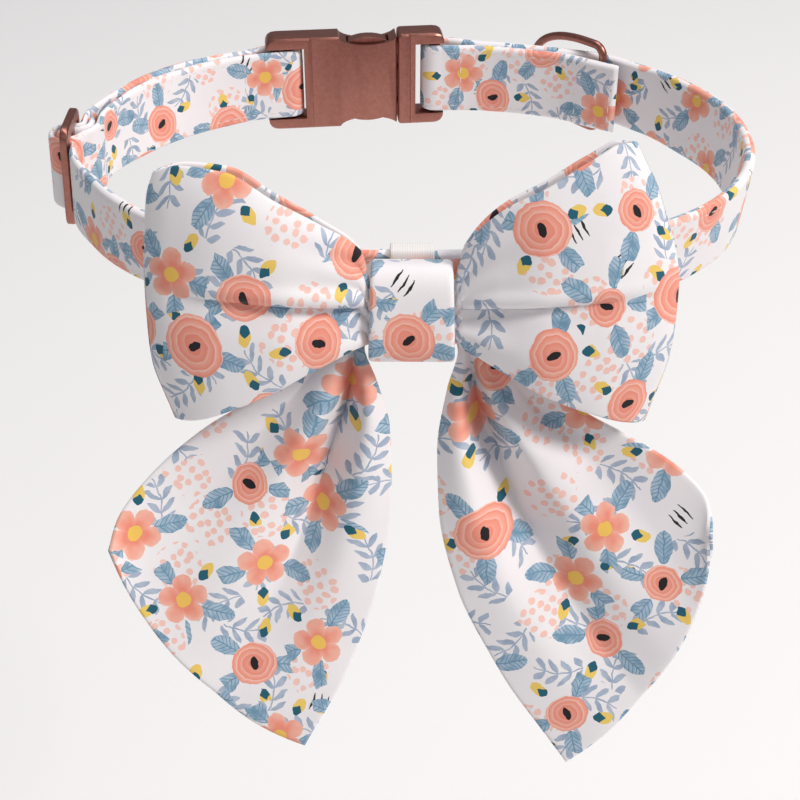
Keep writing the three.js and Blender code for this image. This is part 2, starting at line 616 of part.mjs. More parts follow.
// The elastic loop that the knot is sewn to, round the strap at the front centre.
function elasticSolid() {
  const { point, outwards, rise } = neckAt(0);
  const clear = play + elastic.thickness / 2;
  const place = (across, up, forward) => point.clone().addScaledVector(rise, up)
    .addScaledVector(outwards, forward).add(vec((across * elastic.width) / 2, 0, 0));
  const [high, deep] = [strap.width / 2 + clear, strap.thickness / 2 + clear];
  return bandSolid(high, deep, elastic.squareness, elastic.columns, place, elastic.thickness);
}

// The collar.

const collar = new THREE.Group();
collar.add(part('collar_strap', strapSolid(), cloth));

const sliderPart = part('slider', sliderSolid(), roseMetal);
sliderPart.applyMatrix4(sliderPlace);

const buckleGroup = new THREE.Group();
buckleGroup.add(
  part('buckle_socket', socketSolid(), roseMetal), part('buckle_prongs', prongSolid(), roseMetal),
);
buckleGroup.applyMatrix4(bucklePlace);

const ringPart = part('d_ring', ringSolid(), roseMetal);
ringPart.position.y = ring.raised;
ringPart.rotation.y = radians(-ring.lean);
ringPart.applyMatrix4(fittingPlace(ringAt, 0));

const bowGroup = new THREE.Group();
bowGroup.add(
  part('bow_loops', wingsSolid(), cloth), part('bow_knot', knotSolid(), cloth),
  part('tail_left', tailSolid(-1, leftTail, leftCorners), cloth),
  part('tail_right', tailSolid(1, rightTail, rightCorners), cloth),
);
bowGroup.position.set(0, -bow.front, bow.high);
bowGroup.rotation.x = radians(90 - bow.tilt);

collar.add(sliderPart, buckleGroup, ringPart, bowGroup, part('bow_elastic', elasticSolid(), whiteElastic));

export default collar;
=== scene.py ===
# A small dog's collar of printed cotton with a sailor bow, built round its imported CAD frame.
# Sizes are in millimetres until a mesh is made of them. Print, weave and stitches are drawn by nodes.
import math
from functools import partial

import bpy
import bmesh
import numpy as np
from mathutils import Matrix, Vector


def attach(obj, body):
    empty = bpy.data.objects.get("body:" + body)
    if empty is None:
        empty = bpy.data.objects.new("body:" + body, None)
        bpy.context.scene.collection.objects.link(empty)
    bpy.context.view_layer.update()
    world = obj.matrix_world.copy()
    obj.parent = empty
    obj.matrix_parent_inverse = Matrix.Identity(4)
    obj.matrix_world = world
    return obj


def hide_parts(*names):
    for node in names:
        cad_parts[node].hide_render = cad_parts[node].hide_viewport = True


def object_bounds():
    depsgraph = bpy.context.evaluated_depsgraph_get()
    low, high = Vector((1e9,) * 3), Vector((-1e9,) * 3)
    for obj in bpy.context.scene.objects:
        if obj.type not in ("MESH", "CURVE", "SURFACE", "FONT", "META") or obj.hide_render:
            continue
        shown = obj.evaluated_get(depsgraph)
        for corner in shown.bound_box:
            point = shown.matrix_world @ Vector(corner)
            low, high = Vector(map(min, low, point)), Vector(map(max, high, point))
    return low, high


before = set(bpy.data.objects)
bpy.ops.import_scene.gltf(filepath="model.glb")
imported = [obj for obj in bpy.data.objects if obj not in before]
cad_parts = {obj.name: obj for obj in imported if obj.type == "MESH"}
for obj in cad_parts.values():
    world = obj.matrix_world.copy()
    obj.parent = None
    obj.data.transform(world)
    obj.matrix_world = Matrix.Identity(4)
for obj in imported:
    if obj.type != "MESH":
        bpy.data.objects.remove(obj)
cadBox = [list(corner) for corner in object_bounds()]
mm = 0.001
print("frame loaded:", ", ".join(sorted(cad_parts)))


# tools that every piece uses

def linear(hexColour):
    values = [int(hexColour[i:i + 2], 16) / 255 for i in (1, 3, 5)]
    return [v / 12.92 if v <= 0.04045 else ((v + 0.055) / 1.055) ** 2.4 for v in values] + [1.0]


# gives an input a value, a hex colour or another node's output; None leaves it as it is
def feed(socket, value):
    if isinstance(value, bpy.types.NodeSocket):
        socket.id_data.links.new(value, socket)
    elif value is not None:
        socket.default_value = linear(value) if str(value)[:1] == "#" else value


# adds a node with its settings (one word is its operation), some inputs by name and the rest in order;
# gives the new node's first output
def addNode(tree, kind, settings=None, *inputs):
    node = tree.nodes.new(kind)
    if isinstance(settings, str):
        settings = {"operation": settings}
    given = []
    for key, value in (settings or {}).items():
        if key in node.inputs:
            given.append((node.inputs[key], value))
        else:
            setattr(node, key, value)
    given += zip([s for s in node.inputs if s.enabled], inputs)
    for socket, value in given:
        feed(socket, value)
    return next((s for s in node.outputs if s.enabled), None)


def ease(t):
    t = np.clip(t, 0, 1)
    return t * t * (3 - 2 * t)


# the columns of a table at a place between its rows, on a smooth curve that never overshoots them; a row's
# first column is its own place
def readTable(rows, place):
    rows = np.array(rows, float)
    i = int(np.clip(np.searchsorted(rows[:, 0], place), 1, len(rows) - 1))
    gap = rows[i, 0] - rows[i - 1, 0]
    t = np.clip((place - rows[i - 1, 0]) / gap, 0, 1)
    slopes = np.diff(rows, axis=0) / np.diff(rows[:, :1], axis=0)
    slopes = np.concatenate([slopes[:1], slopes, slopes[-1:]])
    agree = slopes[:-1] * slopes[1:] > 0
    bends = np.where(agree, 2 * slopes[:-1] * slopes[1:] / np.where(agree, slopes[:-1] + slopes[1:], 1), 0)
    turn = gap * t * (1 - t) * ((1 - t) * bends[i - 1] - t * bends[i])
    return rows[i - 1] + (rows[i] - rows[i - 1]) * ease(t) + turn


def power(value, exponent):
    return np.sign(value) * np.abs(value) ** exponent


def unit(vectors):
    return vectors / np.maximum(np.linalg.norm(vectors, axis=-1, keepdims=True), 1e-9)


# shares from 0 to 1 that crowd towards both ends, where a rounded edge needs them
def edgeShares(count, width, edge):
    near = edge / width * np.array([0, 0.03, 0.12, 0.3, 0.6, 1.0])
    return np.concatenate([near, np.linspace(near[-1], 1 - near[-1], count + 2)[1:-1], 1 - near[::-1]])


# how thick a rounded edge is at a distance from its rim, as a share of the full thickness
def roundEdge(distance, radius):
    return np.sqrt(np.clip(1 - (1 - np.clip(distance / radius, 0, 1)) ** 2, 0, 1))


# the way each point of a grid faces; a closed grid's last row is its first again
def gridNormals(grid, closed):
    along = np.gradient(grid, axis=0)
    if closed:
        along[0] = along[-1] = grid[1] - grid[-2]
    return unit(np.cross(along, np.gradient(grid, axis=1)))


def runLengths(grid, axis):
    steps = np.linalg.norm(np.diff(grid, axis=axis), axis=-1)
    return np.concatenate([np.zeros_like(steps.take([0], axis)), np.cumsum(steps, axis)], axis)


def linkObject(name, mesh):
    piece = bpy.data.objects.new(name, mesh)
    bpy.context.scene.collection.objects.link(piece)
    return piece


def gridFaces(rows, columns):
    corner = (np.arange(rows - 1)[:, None] * columns + np.arange(columns - 1)).ravel()
    return np.stack([corner, corner + columns, corner + columns + 1, corner + 1], 1)


# a smooth piece from a mesh whose rims still have to be joined and its faces turned outwards
def closedPiece(name, mesh, joinWithin):
    work = bmesh.new()
    work.from_mesh(mesh)
    bmesh.ops.remove_doubles(work, verts=work.verts, dist=joinWithin)
    bmesh.ops.recalc_face_normals(work, faces=work.faces)
    work.to_mesh(mesh)
    work.free()
    mesh.polygons.foreach_set("use_smooth", [True] * len(mesh.polygons))
    return linkObject(name, mesh)


# a cloth between two grids of points, with each point's place on the printed cloth it was cut from
def clothMesh(name, face, back, place, backShift=(37.0, 61.0)):
    rows, columns = face.shape[:2]
    points = np.concatenate([face.reshape(-1, 3), back.reshape(-1, 3)])
    uv = np.concatenate([place.reshape(-1, 2), place.reshape(-1, 2) * (-1, 1) + backShift])
    quads = gridFaces(rows, columns)
    faces = np.concatenate([quads, quads[:, ::-1] + rows * columns])
    mesh = bpy.data.meshes.new(name)
    mesh.from_pydata((points * mm).tolist(), [], faces.tolist())
    mesh.uv_layers.new(name="clothPlace").data.foreach_set("uv", uv[faces].ravel())
    return closedPiece(name, mesh, 2e-7)


# soft hills and hollows over a cloth, a few sines that never line up, for the unevenness of handled cotton
def unevenness(grid, seed, size, height):
    chance = np.random.default_rng(seed)
    total = np.zeros(grid.shape[:-1])
    waves = 7
    for k in range(waves):
        way = chance.normal(size=3)
        way *= 2 * np.pi / (size * chance.uniform(0.6, 1.8)) / np.linalg.norm(way)
        total += np.sin(grid @ way + chance.uniform(0, 6.28)) / waves
    return total * height


# the neck line that the strap follows, and the fittings' places on it

loop = {"halfWidth": 84.5, "halfDepth": 58.5, "squareness": 2.15}
fittings = {
    "play": 0.35, "sliderAt": 0.75, "sliderOut": 4.0, "railSpot": (6.0, -1.1), "sliderBar": 2.4,
    "sliderThick": 2.2, "buckleAt": 0.537, "buckleSink": 1.6, "prongBar": -23.0, "socketBar": 19.0,
    "barRadius": 1.6, "ringBeforeBack": 55.0, "ringWire": 2.3,
}
# folded and pressed are its thicknesses round a bar and inside the slider; a seam shows and an edge waves
# only where the strap is thicker than seamFrom and wavyFrom
strapLook = {
    "width": 20.0, "thickness": 2.8, "folded": 2.2, "pressed": 1.6, "step": 1.3, "fineStep": 0.65,
    "easeSteps": 3, "easeWidth": 1.2, "edgeRadius": 1.25, "endRadius": 1.0, "printAt": (11.0, 3.0),
    "hem": 6.5, "taper": 12.0, "single": 30.0, "settle": 28.0, "barLead": 2.0, "straightFront": 9.0,
    "straightBack": 11.0, "sewnFrom": (-2.6, 1.3), "sewnTo": (-3.8, 0.8), "sewnEnd": -10.0,
    "seamInset": 1.9, "seamDip": 0.16, "seamWide": 0.55, "seamPitch": 2.6, "seamFrom": 1.9,
    "waviness": 0.22, "wavyFrom": 2.6, "waves": (7.3, 17.0),
}
# share of the way round from the front: how far the strap's upper edge leans outwards, in degrees
leanRows = [
    (0, 3), (0.2, 6), (0.3, 6), (0.37, 0), (0.6, 0), (0.66, 5), (0.72, -3), (0.78, -3), (0.88, 3), (1, 3)]

turns = np.linspace(0, 2 * np.pi, 2881)
neckLine = np.stack([
    loop["halfWidth"] * power(np.sin(turns), 2 / loop["squareness"]),
    -loop["halfDepth"] * power(np.cos(turns), 2 / loop["squareness"]), 0 * turns], 1)
neckRun = runLengths(neckLine, 0)
neckLength = neckRun[-1]


def onNeckLine(length):
    return np.array([np.interp(length % neckLength, neckRun, neckLine[:, k]) for k in range(3)])


# the place at a length along the neck line, and the ways ahead, outwards and up the strap
def neckAt(length):
    point = onNeckLine(length)
    ahead = unit(onNeckLine(length + 0.4) - onNeckLine(length - 0.4))
    outwards = np.array([ahead[1], -ahead[0], 0])
    lean = math.radians(readTable(leanRows, length % neckLength / neckLength)[1])
    return point, ahead, outwards, outwards * math.sin(lean) + np.array([0, 0, math.cos(lean)])


def fittingPlace(length, out):
    point, ahead, outwards, rise = neckAt(length)
    return point + outwards * out, ahead, rise, np.cross(ahead, rise)


def inFitting(place, x, z):
    return place[0] + place[1] * x + place[3] * z


# where a fitting's spot lies along the neck line and outside it, counting laps already made
def ontoNeck(point, laps):
    i = int(np.argmin(np.linalg.norm(neckLine - point, axis=1)))
    foot, ahead, outwards, rise = neckAt(neckRun[i])
    return neckRun[i] - laps * neckLength, float((point - foot) @ outwards)


sliderPlace = fittingPlace(fittings["sliderAt"] * neckLength, fittings["sliderOut"])
bucklePlace = fittingPlace(fittings["buckleAt"] * neckLength, -fittings["buckleSink"])
ringAt = neckLength / 2 - fittings["ringBeforeBack"]


# the strap, one length from its folded end by the ring to its sewn end at the slider

route = []


# each row gives a length along the neck line, a distance outside it and a thickness
def followNeck(rows):
    for (length0, out0, thick0), (length1, out1, thick1) in zip(rows, rows[1:]):
        for t in np.linspace(0, 1, max(round(abs(length1 - length0) / strapLook["step"]), 3) + 1):
            point, ahead, outwards, rise = neckAt(length0 + (length1 - length0) * t)
            route.append((point + outwards * (out0 + (out1 - out0) * ease(t)), rise,
                          thick0 + (thick1 - thick0) * t, outwards))


def followFitting(place, thickness, spots):
    for x, z in spots:
        route.append((inFitting(place, x, z), place[2], thickness, place[3]))


def turnSpots(x, z, radius, start, end, count):
    return [(x + radius * math.cos(math.radians(a)), z + radius * math.sin(math.radians(a)))
            for a in np.linspace(start, end, count)]


def rowAt(place, thickness, x, z, laps):
    return (*ontoNeck(inFitting(place, x, z), laps), thickness)


def layStrap():
    play = fittings["play"]
    full, folded, pressed = strapLook["thickness"], strapLook["folded"], strapLook["pressed"]
    hem, taper = strapLook["hem"], strapLook["taper"]
    single, settle = strapLook["single"], strapLook["settle"]
    layer = (full + play) / 2
    ringClear = fittings["ringWire"] / 2 + play + full / 2
    barTurn = fittings["barRadius"] + play + folded / 2
    prong, socket, lead = fittings["prongBar"], fittings["socketBar"], strapLook["barLead"]
    prongIn, prongOut = [rowAt(bucklePlace, folded, prong - lead, z, 0) for z in (-barTurn, barTurn)]
    # the folded end inside the neck, over the ring's bar, to the bar of the buckle's prong half
    followNeck([(ringAt - hem, -ringClear, full), (ringAt, -ringClear, full),
                (ringAt + taper, -layer, full), (prongIn[0] - taper, -layer, full), prongIn])
    followFitting(bucklePlace, folded, turnSpots(prong, 0, barTurn, -90, 90, 22))
    followNeck([prongOut, (prongOut[0] - taper, layer, full), (ringAt + taper, layer, full),
                (ringAt, ringClear, full), (ringAt - taper, layer, full), (ringAt - single, 0, full)])
    sewnTurn = math.hypot(fittings["sliderBar"], fittings["sliderThick"]) / 2 + play + pressed / 2
    overTurn = sewnTurn + pressed + play
    railTurn = play + pressed / 2
    railX, railZ = fittings["railSpot"]
    over = railZ - railTurn
    sewnEnd = over - pressed - play
    inner = sewnEnd - pressed - 1.5 * play
    slide = fittings["sliderAt"] * neckLength - neckLength
    # single round the front, then over the slider's middle bar
    followNeck([(ringAt - single, 0, full), (slide + settle, 0, full),
                rowAt(sliderPlace, pressed, strapLook["straightFront"], over, 1)])
    followFitting(sliderPlace, pressed, turnSpots(railX, railZ, railTurn, -90, -180, 8)
                  + turnSpots(0, 0, overTurn, 0, 180, 34) + turnSpots(-railX, railZ, railTurn, 0, -90, 8))
    socketOut, socketIn = [rowAt(bucklePlace, folded, socket + lead, z, 1) for z in (barTurn, -barTurn)]
    # round the socket half's bar, and back inside to the loop sewn round the slider's bar
    back = -strapLook["straightBack"]
    followNeck([rowAt(sliderPlace, pressed, back, over, 1), (slide - settle, layer, full),
                (socketOut[0] + taper, layer, full), socketOut])
    followFitting(bucklePlace, folded, turnSpots(socket, 0, barTurn, 90, 270, 22))
    followNeck([socketIn, (socketIn[0] + taper, -layer, full), (slide - settle, -layer, full),
                rowAt(sliderPlace, pressed, back, inner, 1)])
    (fromX, fromZ), (toX, toZ) = strapLook["sewnFrom"], strapLook["sewnTo"]
    followFitting(sliderPlace, pressed, [(-railX, inner), (fromX, inner + fromZ)]
                  + turnSpots(0, 0, sewnTurn, -90, 200, 40)
                  + [(toX, sewnEnd + toZ), (-railX, sewnEnd), (strapLook["sewnEnd"], sewnEnd)])


# the route again at even steps, its corners eased, with what was known at each old place
def evenRoute():
    points = np.array([p for p, rise, thick, out in route])
    keep = np.concatenate([[True], np.linalg.norm(np.diff(points, axis=0), axis=1) > 0.05])
    rows = [np.concatenate([p, rise, [thick], out]) for (p, rise, thick, out), k in zip(route, keep) if k]
    rows = np.array(rows)
    run = runLengths(rows[:, :3], 0)
    spots = np.linspace(0, run[-1], int(run[-1] / strapLook["fineStep"]))
    fine = np.stack([np.interp(spots, run, rows[:, k]) for k in range(rows.shape[1])], 1)
    wide = strapLook["easeSteps"]
    blur = np.exp(-0.5 * (np.arange(-wide, wide + 1) / strapLook["easeWidth"]) ** 2)
    padded = np.concatenate([np.repeat(fine[:1], wide, 0), fine, np.repeat(fine[-1:], wide, 0)])
    return np.stack([np.convolve(column, blur / blur.sum(), "valid") for column in padded.T], 1)


layStrap()
strapRoute = evenRoute()
strapRun = runLengths(strapRoute[:, :3], 0)


def buildStrap():
    width, radius = strapLook["width"], strapLook["edgeRadius"]
    shares = edgeShares(14, width, radius)
    across = (shares - 0.5) * width
    centre, rise, thick = strapRoute[:, :3], unit(strapRoute[:, 3:6]), strapRoute[:, 6]
    ahead = unit(np.gradient(centre, axis=0))
    normal = unit(np.cross(ahead, rise))
    fromRim = np.minimum(shares, 1 - shares) * width
    fromEnd = np.minimum(strapRun, strapRun[-1] - strapRun)
    profile = roundEdge(fromRim, radius)[None, :] * roundEdge(fromEnd, strapLook["endRadius"])[:, None]
    # thread pulls the cloth in along its seams, a little more at each stitch
    seam = np.exp(-((fromRim - strapLook["seamInset"]) / strapLook["seamWide"]) ** 2)
    pull = strapLook["seamDip"] * (0.75 + 0.25 * np.cos(2 * np.pi * strapRun / strapLook["seamPitch"]))
    sewn = thick[:, None] > strapLook["seamFrom"]
    half = thick[:, None] / 2 * profile - pull[:, None] * seam[None, :] * sewn
    middle = centre[:, None, :] + rise[:, None, :] * across[None, :, None]
    # edges that wave slightly in and out of line
    wavy = (thick > strapLook["wavyFrom"])[:, None]
    loose = strapLook["waviness"] * wavy * (np.abs(across) / (width / 2)) ** 2
    short, long = strapLook["waves"]
    wave = loose * np.sin(strapRun / short + np.sin(strapRun / long))[:, None] * np.sign(across)
    middle = middle + rise[:, None, :] * (0.5 * wave)[..., None]
    face = middle + normal[:, None, :] * half[..., None]
    back = middle - normal[:, None, :] * half[..., None]
    u, v = strapLook["printAt"]
    place = np.stack(np.broadcast_arrays(strapRun[:, None] + u, across[None, :] + v), -1)
    return clothMesh("strapCloth", face, back, place)


strapPiece = buildStrap()
print("strap laid:", round(float(strapRun[-1])), "mm of it")


# the bow, in a frame of its own: X to the side, Y up the bow, Z forwards

bowLook = {"front": 70.2, "high": 1.4, "tilt": 18.0, "cloth": 1.5}
tilt = math.radians(bowLook["tilt"])
bowOrigin = np.array([0, -bowLook["front"], bowLook["high"]])
bowAxes = np.array([[1, 0, 0], [0, math.sin(tilt), math.cos(tilt)], [0, -math.cos(tilt), math.sin(tilt)]])


def inBow(grid):
    return grid @ bowAxes + bowOrigin


# a cloth wall about a grid of its middle, with rims rounded off
def clothWall(name, middle, closed, half, fromRim, place, put=inBow):
    wall = gridNormals(middle, closed) * (half * roundEdge(fromRim, half))[..., None]
    return clothMesh(name, put(middle + wall), put(middle - wall), place)


# out from the middle: top edge, bottom edge, front layer, back layer, depth of the crease
leftWing = [
    (0, 6.6, -6.4, 3.7, 1.6, 0), (9.6, 7.4, -6.8, 3.8, 1.6, 0.2), (11.5, 14.5, -7.2, 5.6, 1.2, 2),
    (20, 20.5, -11, 9.5, 0.8, 3.6), (30, 26, -16, 11.8, 0.6, 3), (41, 32, -20.5, 11, 0.6, 1.6),
    (52, 33, -24, 8, 1, 0.4), (56.5, 32, -24.5, 5.4, 2.2, 0), (58, 31.5, -24.5, 3.8, 3.8, 0)]
rightWing = [
    (0, 6.6, -6.4, 3.7, 1.6, 0), (9.6, 7.4, -6.8, 3.8, 1.6, 0.2), (11.5, 15, -7.5, 5.6, 1.2, 2),
    (20, 24, -12, 9.5, 0.8, 3.6), (30, 29, -17, 11.8, 0.6, 3), (41, 34.5, -21, 11, 0.6, 1.6),
    (52, 38, -24, 8, 1, 0.4), (56.5, 38, -24.5, 5.4, 2.2, 0), (58, 38, -24.5, 3.8, 3.8, 0)]
# share of the height from the lower edge: how far the wing reaches
leftReach = [(0, 52.5), (0.3, 57.5), (0.6, 58), (0.9, 56.4), (1, 54.6)]
rightReach = [(0, 52), (0.3, 57), (0.5, 57.5), (0.78, 53.5), (1, 47)]
wingLook = {
    "reach": 58.0, "turnBack": 5.6, "roundOff": 0.25, "creaseFrom": 0.5, "creaseClimb": 0.1,
    "creaseAbove": 0.95, "creaseBelow": 4.5, "lip": 0.22, "lipAt": 2.4, "lipWide": 1.8,
    "pleats": 0.5, "pleatsFrom": 9.7, "pleatsFade": 9.0, "pleatTurns": 29, "unevenness": 0.6,
    "hillSize": 30.0, "looseFrom": 11.0, "looseOver": 12.0, "printAt": (140.0, 25.0)}


def wingPoint(way, out, height, isFront):
    top, bottom, front, back, crease = readTable(leftWing if way < 0 else rightWing, out)[1:]
    reach = np.array([readTable(leftReach if way < 0 else rightReach, h)[1] for h in height])
    shrink = 1 + (reach / wingLook["reach"] - 1) * (out / wingLook["reach"]) ** 2
    high = bottom + (top - bottom) * height
    away = high - wingLook["creaseFrom"] - wingLook["creaseClimb"] * out
    if isFront:
        roundOff = wingLook["roundOff"] * (front - back) * (2 * height - 1) ** 4
        # the upper half laps over the lower: a steep drop under its lip, then a slow rise
        wide = np.where(away > 0, wingLook["creaseAbove"], wingLook["creaseBelow"])
        depth = front - roundOff - crease * np.exp(-(away / wide) ** 2)
        lip = np.exp(-((away - wingLook["lipAt"]) / wingLook["lipWide"]) ** 2)
        depth = depth + crease * wingLook["lip"] * lip
        # small pleats that run out of the knot
        near = np.exp(-np.clip(out - 10, 0, None) / wingLook["pleatsFade"]) * min(out / 10, 1)
        rise = np.cos(height * wingLook["pleatTurns"] + 1.5 * way) * (out > wingLook["pleatsFrom"])
        depth = depth + wingLook["pleats"] * near * rise
    else:
        depth = np.full_like(height, back)
    return np.stack([way * out * shrink, high, depth], -1)


def buildWings():
    reach, half = wingLook["reach"], bowLook["cloth"] / 2
    # rows crowd where the cloth leaves the knot and where it turns back at the wing's end
    outs = np.concatenate([np.linspace(0, 9, 6), np.linspace(9.6, 16, 14), np.linspace(17, reach - 6, 42),
                           reach - 0.1 - wingLook["turnBack"] * (1 - np.linspace(0.08, 1, 13)) ** 1.6])
    heights = edgeShares(92, 45, half)
    laps = [(1, outs, True), (1, [reach], True), (1, outs[::-1], False),
            (-1, outs[1:], False), (-1, [reach], True), (-1, outs[::-1], True)]
    middle = np.array([wingPoint(way, out, heights, front) for way, some, front in laps for out in some])
    loose = np.clip((np.abs(middle[..., :1]) - wingLook["looseFrom"]) / wingLook["looseOver"], 0, 1)
    hills = unevenness(middle, 4, wingLook["hillSize"], wingLook["unevenness"])[..., None]
    middle = middle + gridNormals(middle, True) * loose * hills
    middle[-1] = middle[0]
    width = np.linalg.norm(middle[:, 0] - middle[:, -1], axis=-1)[:, None]
    fromRim = np.minimum(heights, 1 - heights) * np.maximum(width, 12)
    run = runLengths(middle, 0)[:, len(heights) // 2]
    u, v = wingLook["printAt"]
    place = np.stack([np.broadcast_to(run[:, None] + u, middle.shape[:2]), middle[..., 1] + v], -1)
    return clothWall("wingCloth", middle, True, half, fromRim, place)


# down the tail: inner edge out and high, outer edge out and high, how far forwards, depth of its folds
leftTail = [
    (0, 0.5, -6.4, 0.5, 5.6, -0.7, 0), (0.1, 9.6, -6.8, 9.8, 4, -0.8, 0),
    (0.16, 10.6, -10, 16, -2, -2, 0.7),
    (0.24, 8, -17, 23, -10, -2.6, 2.8), (0.36, 4.8, -28, 34, -20, -1.6, 5.2),
    (0.52, 4.4, -44, 47, -28, 0, 4.2),
    (0.7, 7.6, -65, 59, -38, 3, 2.2), (0.86, 14.5, -85, 67, -48, 6.5, 1), (1, 26, -105, 69.5, -55, 10, 0.5)]
rightTail = [
    (0, 0.5, -6.4, 0.5, 5.6, -0.7, 0), (0.1, 9.6, -6.8, 9.8, 4, -0.8, 0),
    (0.16, 10.4, -10.5, 16, -3, -2, 0.7),
    (0.24, 8, -19, 24, -12, -2.6, 3), (0.36, 6, -32, 36, -22, -1.6, 5.6), (0.52, 6.4, -47, 49, -29, 0, 4.8),
    (0.7, 11, -66, 61, -36, 3, 2.8), (0.86, 22, -87, 68, -43, 6.5, 1.4), (1, 37.5, -108, 71, -52, 10, 0.5)]
# across the tail: how far its folds rise there, as shares of their depth
foldRows = [
    (0, 0.3), (0.16, 0.9), (0.31, -0.8), (0.36, -1.4), (0.43, -0.6), (0.56, 0.7), (0.78, -0.3), (1, 0)]
# each tail's cut end is rounded off by this much at its inner and its outer corner
tailLook = {
    "rows": 138, "length": 110.0, "endBulge": 6.0, "unevenness": 1.2, "hillSize": 34.0,
    "looseFrom": 0.14, "looseOver": 0.2,
    "leftCorners": (1.6, 1.4), "rightCorners": (0.4, 4.4),
    "leftPrint": (260.0, 210.0), "rightPrint": (420.0, 150.0)}


def buildTail(name, way, rows, corners, printAt, seed):
    half = bowLook["cloth"] / 2
    shares = edgeShares(64, 60, half)
    folds = np.array([readTable(foldRows, s)[1] for s in shares])
    downs = edgeShares(tailLook["rows"], tailLook["length"], half)
    middle = []
    for down in downs:
        innerOut, innerHigh, outerOut, outerHigh, forward, fold = readTable(rows, down)[1:]
        edge = np.array([outerOut - innerOut, outerHigh - innerHigh])
        below = np.array([edge[1], -edge[0]]) / np.linalg.norm(edge)
        bulge = 4 * shares * (1 - shares) * tailLook["endBulge"] * down ** 4
        cut = down ** 8 * (corners[1] * shares ** 8 + corners[0] * (1 - shares) ** 8)
        flat = np.array([innerOut, innerHigh]) + edge * shares[:, None] + below * (bulge - cut)[:, None]
        middle.append(np.stack([way * flat[:, 0], flat[:, 1], forward + fold * folds], -1))
    middle = np.array(middle)
    loose = np.clip((downs - tailLook["looseFrom"]) / tailLook["looseOver"], 0, 1)[:, None, None]
    place = middle[..., :2] + printAt
    hills = unevenness(middle, seed, tailLook["hillSize"], tailLook["unevenness"])[..., None]
    middle = middle + gridNormals(middle, False) * loose * hills
    width = np.linalg.norm(middle[:, 0] - middle[:, -1], axis=-1)[:, None]
    fromSide = np.minimum(shares, 1 - shares)[None] * width
    fromEnd = np.minimum(downs, 1 - downs)[:, None] * tailLook["length"]
    return clothWall(name, middle, False, half, np.minimum(fromSide, fromEnd), place)


knotLook = {
    "halfWidth": 9.0, "halfHeight": 11.2, "halfDepth": 7.0, "middle": 0.5, "wall": 2.0, "squareness": 3.5,
    "flare": 0.6, "printAt": (30.0, 330.0)}


# a closed band: a rounded rectangle carried across shares from -1 to 1
def bandMiddle(halfHigh, halfDeep, squareness, across, steps):
    angles = np.linspace(0, 2 * np.pi, steps + 1) - np.pi / 2
    high = halfHigh * power(np.sin(angles), 2 / squareness)
    deep = halfDeep * power(np.cos(angles), 2 / squareness)
    return np.broadcast_arrays(across[None, :], high[:, None], deep[:, None])


def buildKnot():
    half = knotLook["wall"] / 2
    halfHigh, halfDeep = knotLook["halfHeight"] - half, knotLook["halfDepth"] - half
    shares = edgeShares(26, 2 * knotLook["halfWidth"], half)
    across, high, deep = bandMiddle(halfHigh, halfDeep, knotLook["squareness"], shares * 2 - 1, 140)
    wide = knotLook["halfWidth"] + knotLook["flare"] * (0.5 - high / (2 * halfHigh))
    middle = np.stack([across * wide, high, knotLook["middle"] + deep], -1)
    fromRim = np.minimum(shares, 1 - shares) * 2 * knotLook["halfWidth"]
    u, v = knotLook["printAt"]
    place = np.stack([across * wide + u, runLengths(middle, 0) + v], -1)
    return clothWall("knotCloth", middle, True, half, fromRim, place)


elasticLook = {"width": 10.0, "thickness": 1.0, "squareness": 6.0}


def buildElastic():
    point, ahead, outwards, rise = neckAt(0)
    half, width = elasticLook["thickness"] / 2, elasticLook["width"]
    clear = fittings["play"] + half
    shares = edgeShares(30, width, half)
    across, high, deep = bandMiddle(strapLook["width"] / 2 + clear, strapLook["thickness"] / 2 + clear,
                                    elasticLook["squareness"], shares * 2 - 1, 120)
    middle = (point + across[..., None] * np.array([width / 2, 0, 0])
              + high[..., None] * rise + deep[..., None] * outwards)
    fromRim = np.minimum(shares, 1 - shares) * width
    place = np.stack([across * width / 2, runLengths(middle, 0)], -1)
    return clothWall("elasticLoop", middle, True, half, fromRim, place, np.asarray)


wingPiece = buildWings()
leftPiece = buildTail("leftTailCloth", -1, leftTail, tailLook["leftCorners"], tailLook["leftPrint"], 7)
rightPiece = buildTail("rightTailCloth", 1, rightTail, tailLook["rightCorners"], tailLook["rightPrint"], 9)
knotPiece = buildKnot()
elasticPiece = buildElastic()
print("bow made")


# metal fittings

castLook = {
    "socketEdge": 0.28, "prongEdge": 0.22, "sliderEdge": 0.3, "segments": 3, "edgeAngle": 35.0,
    "flatAngle": 1.0}


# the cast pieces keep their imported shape; their edges are only broken, as tumbling leaves them
def softenedCopy(node, edge):
    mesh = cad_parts[node].data.copy()
    mesh.name = node + "Cast"
    mesh.materials.clear()
    work = bmesh.new()
    work.from_mesh(mesh)
    bmesh.ops.remove_doubles(work, verts=work.verts, dist=2e-6)
    flat = math.radians(castLook["flatAngle"])
    bmesh.ops.dissolve_limit(work, angle_limit=flat, verts=work.verts, edges=work.edges)
    work.to_mesh(mesh)
    work.free()
    piece = linkObject(node + "Cast", mesh)
    bevel = piece.modifiers.new("brokenEdges", "BEVEL")
    bevel.width = edge * mm
    bevel.segments = castLook["segments"]
    bevel.limit_method = "ANGLE"
    bevel.angle_limit = math.radians(castLook["edgeAngle"])
    bevel.harden_normals = True
    mesh.polygons.foreach_set("use_smooth", [True] * len(mesh.polygons))
    graph = bpy.context.evaluated_depsgraph_get()
    finished = bpy.data.meshes.new_from_object(piece.evaluated_get(graph))
    piece.modifiers.clear()
    piece.data = finished
    return piece


ringLook = {
    "wire": 2.3, "halfWidth": 12.5, "depth": 25.5, "corner": 3.2, "squareness": 2.5, "lean": 18.0,
    "raised": 0.7}


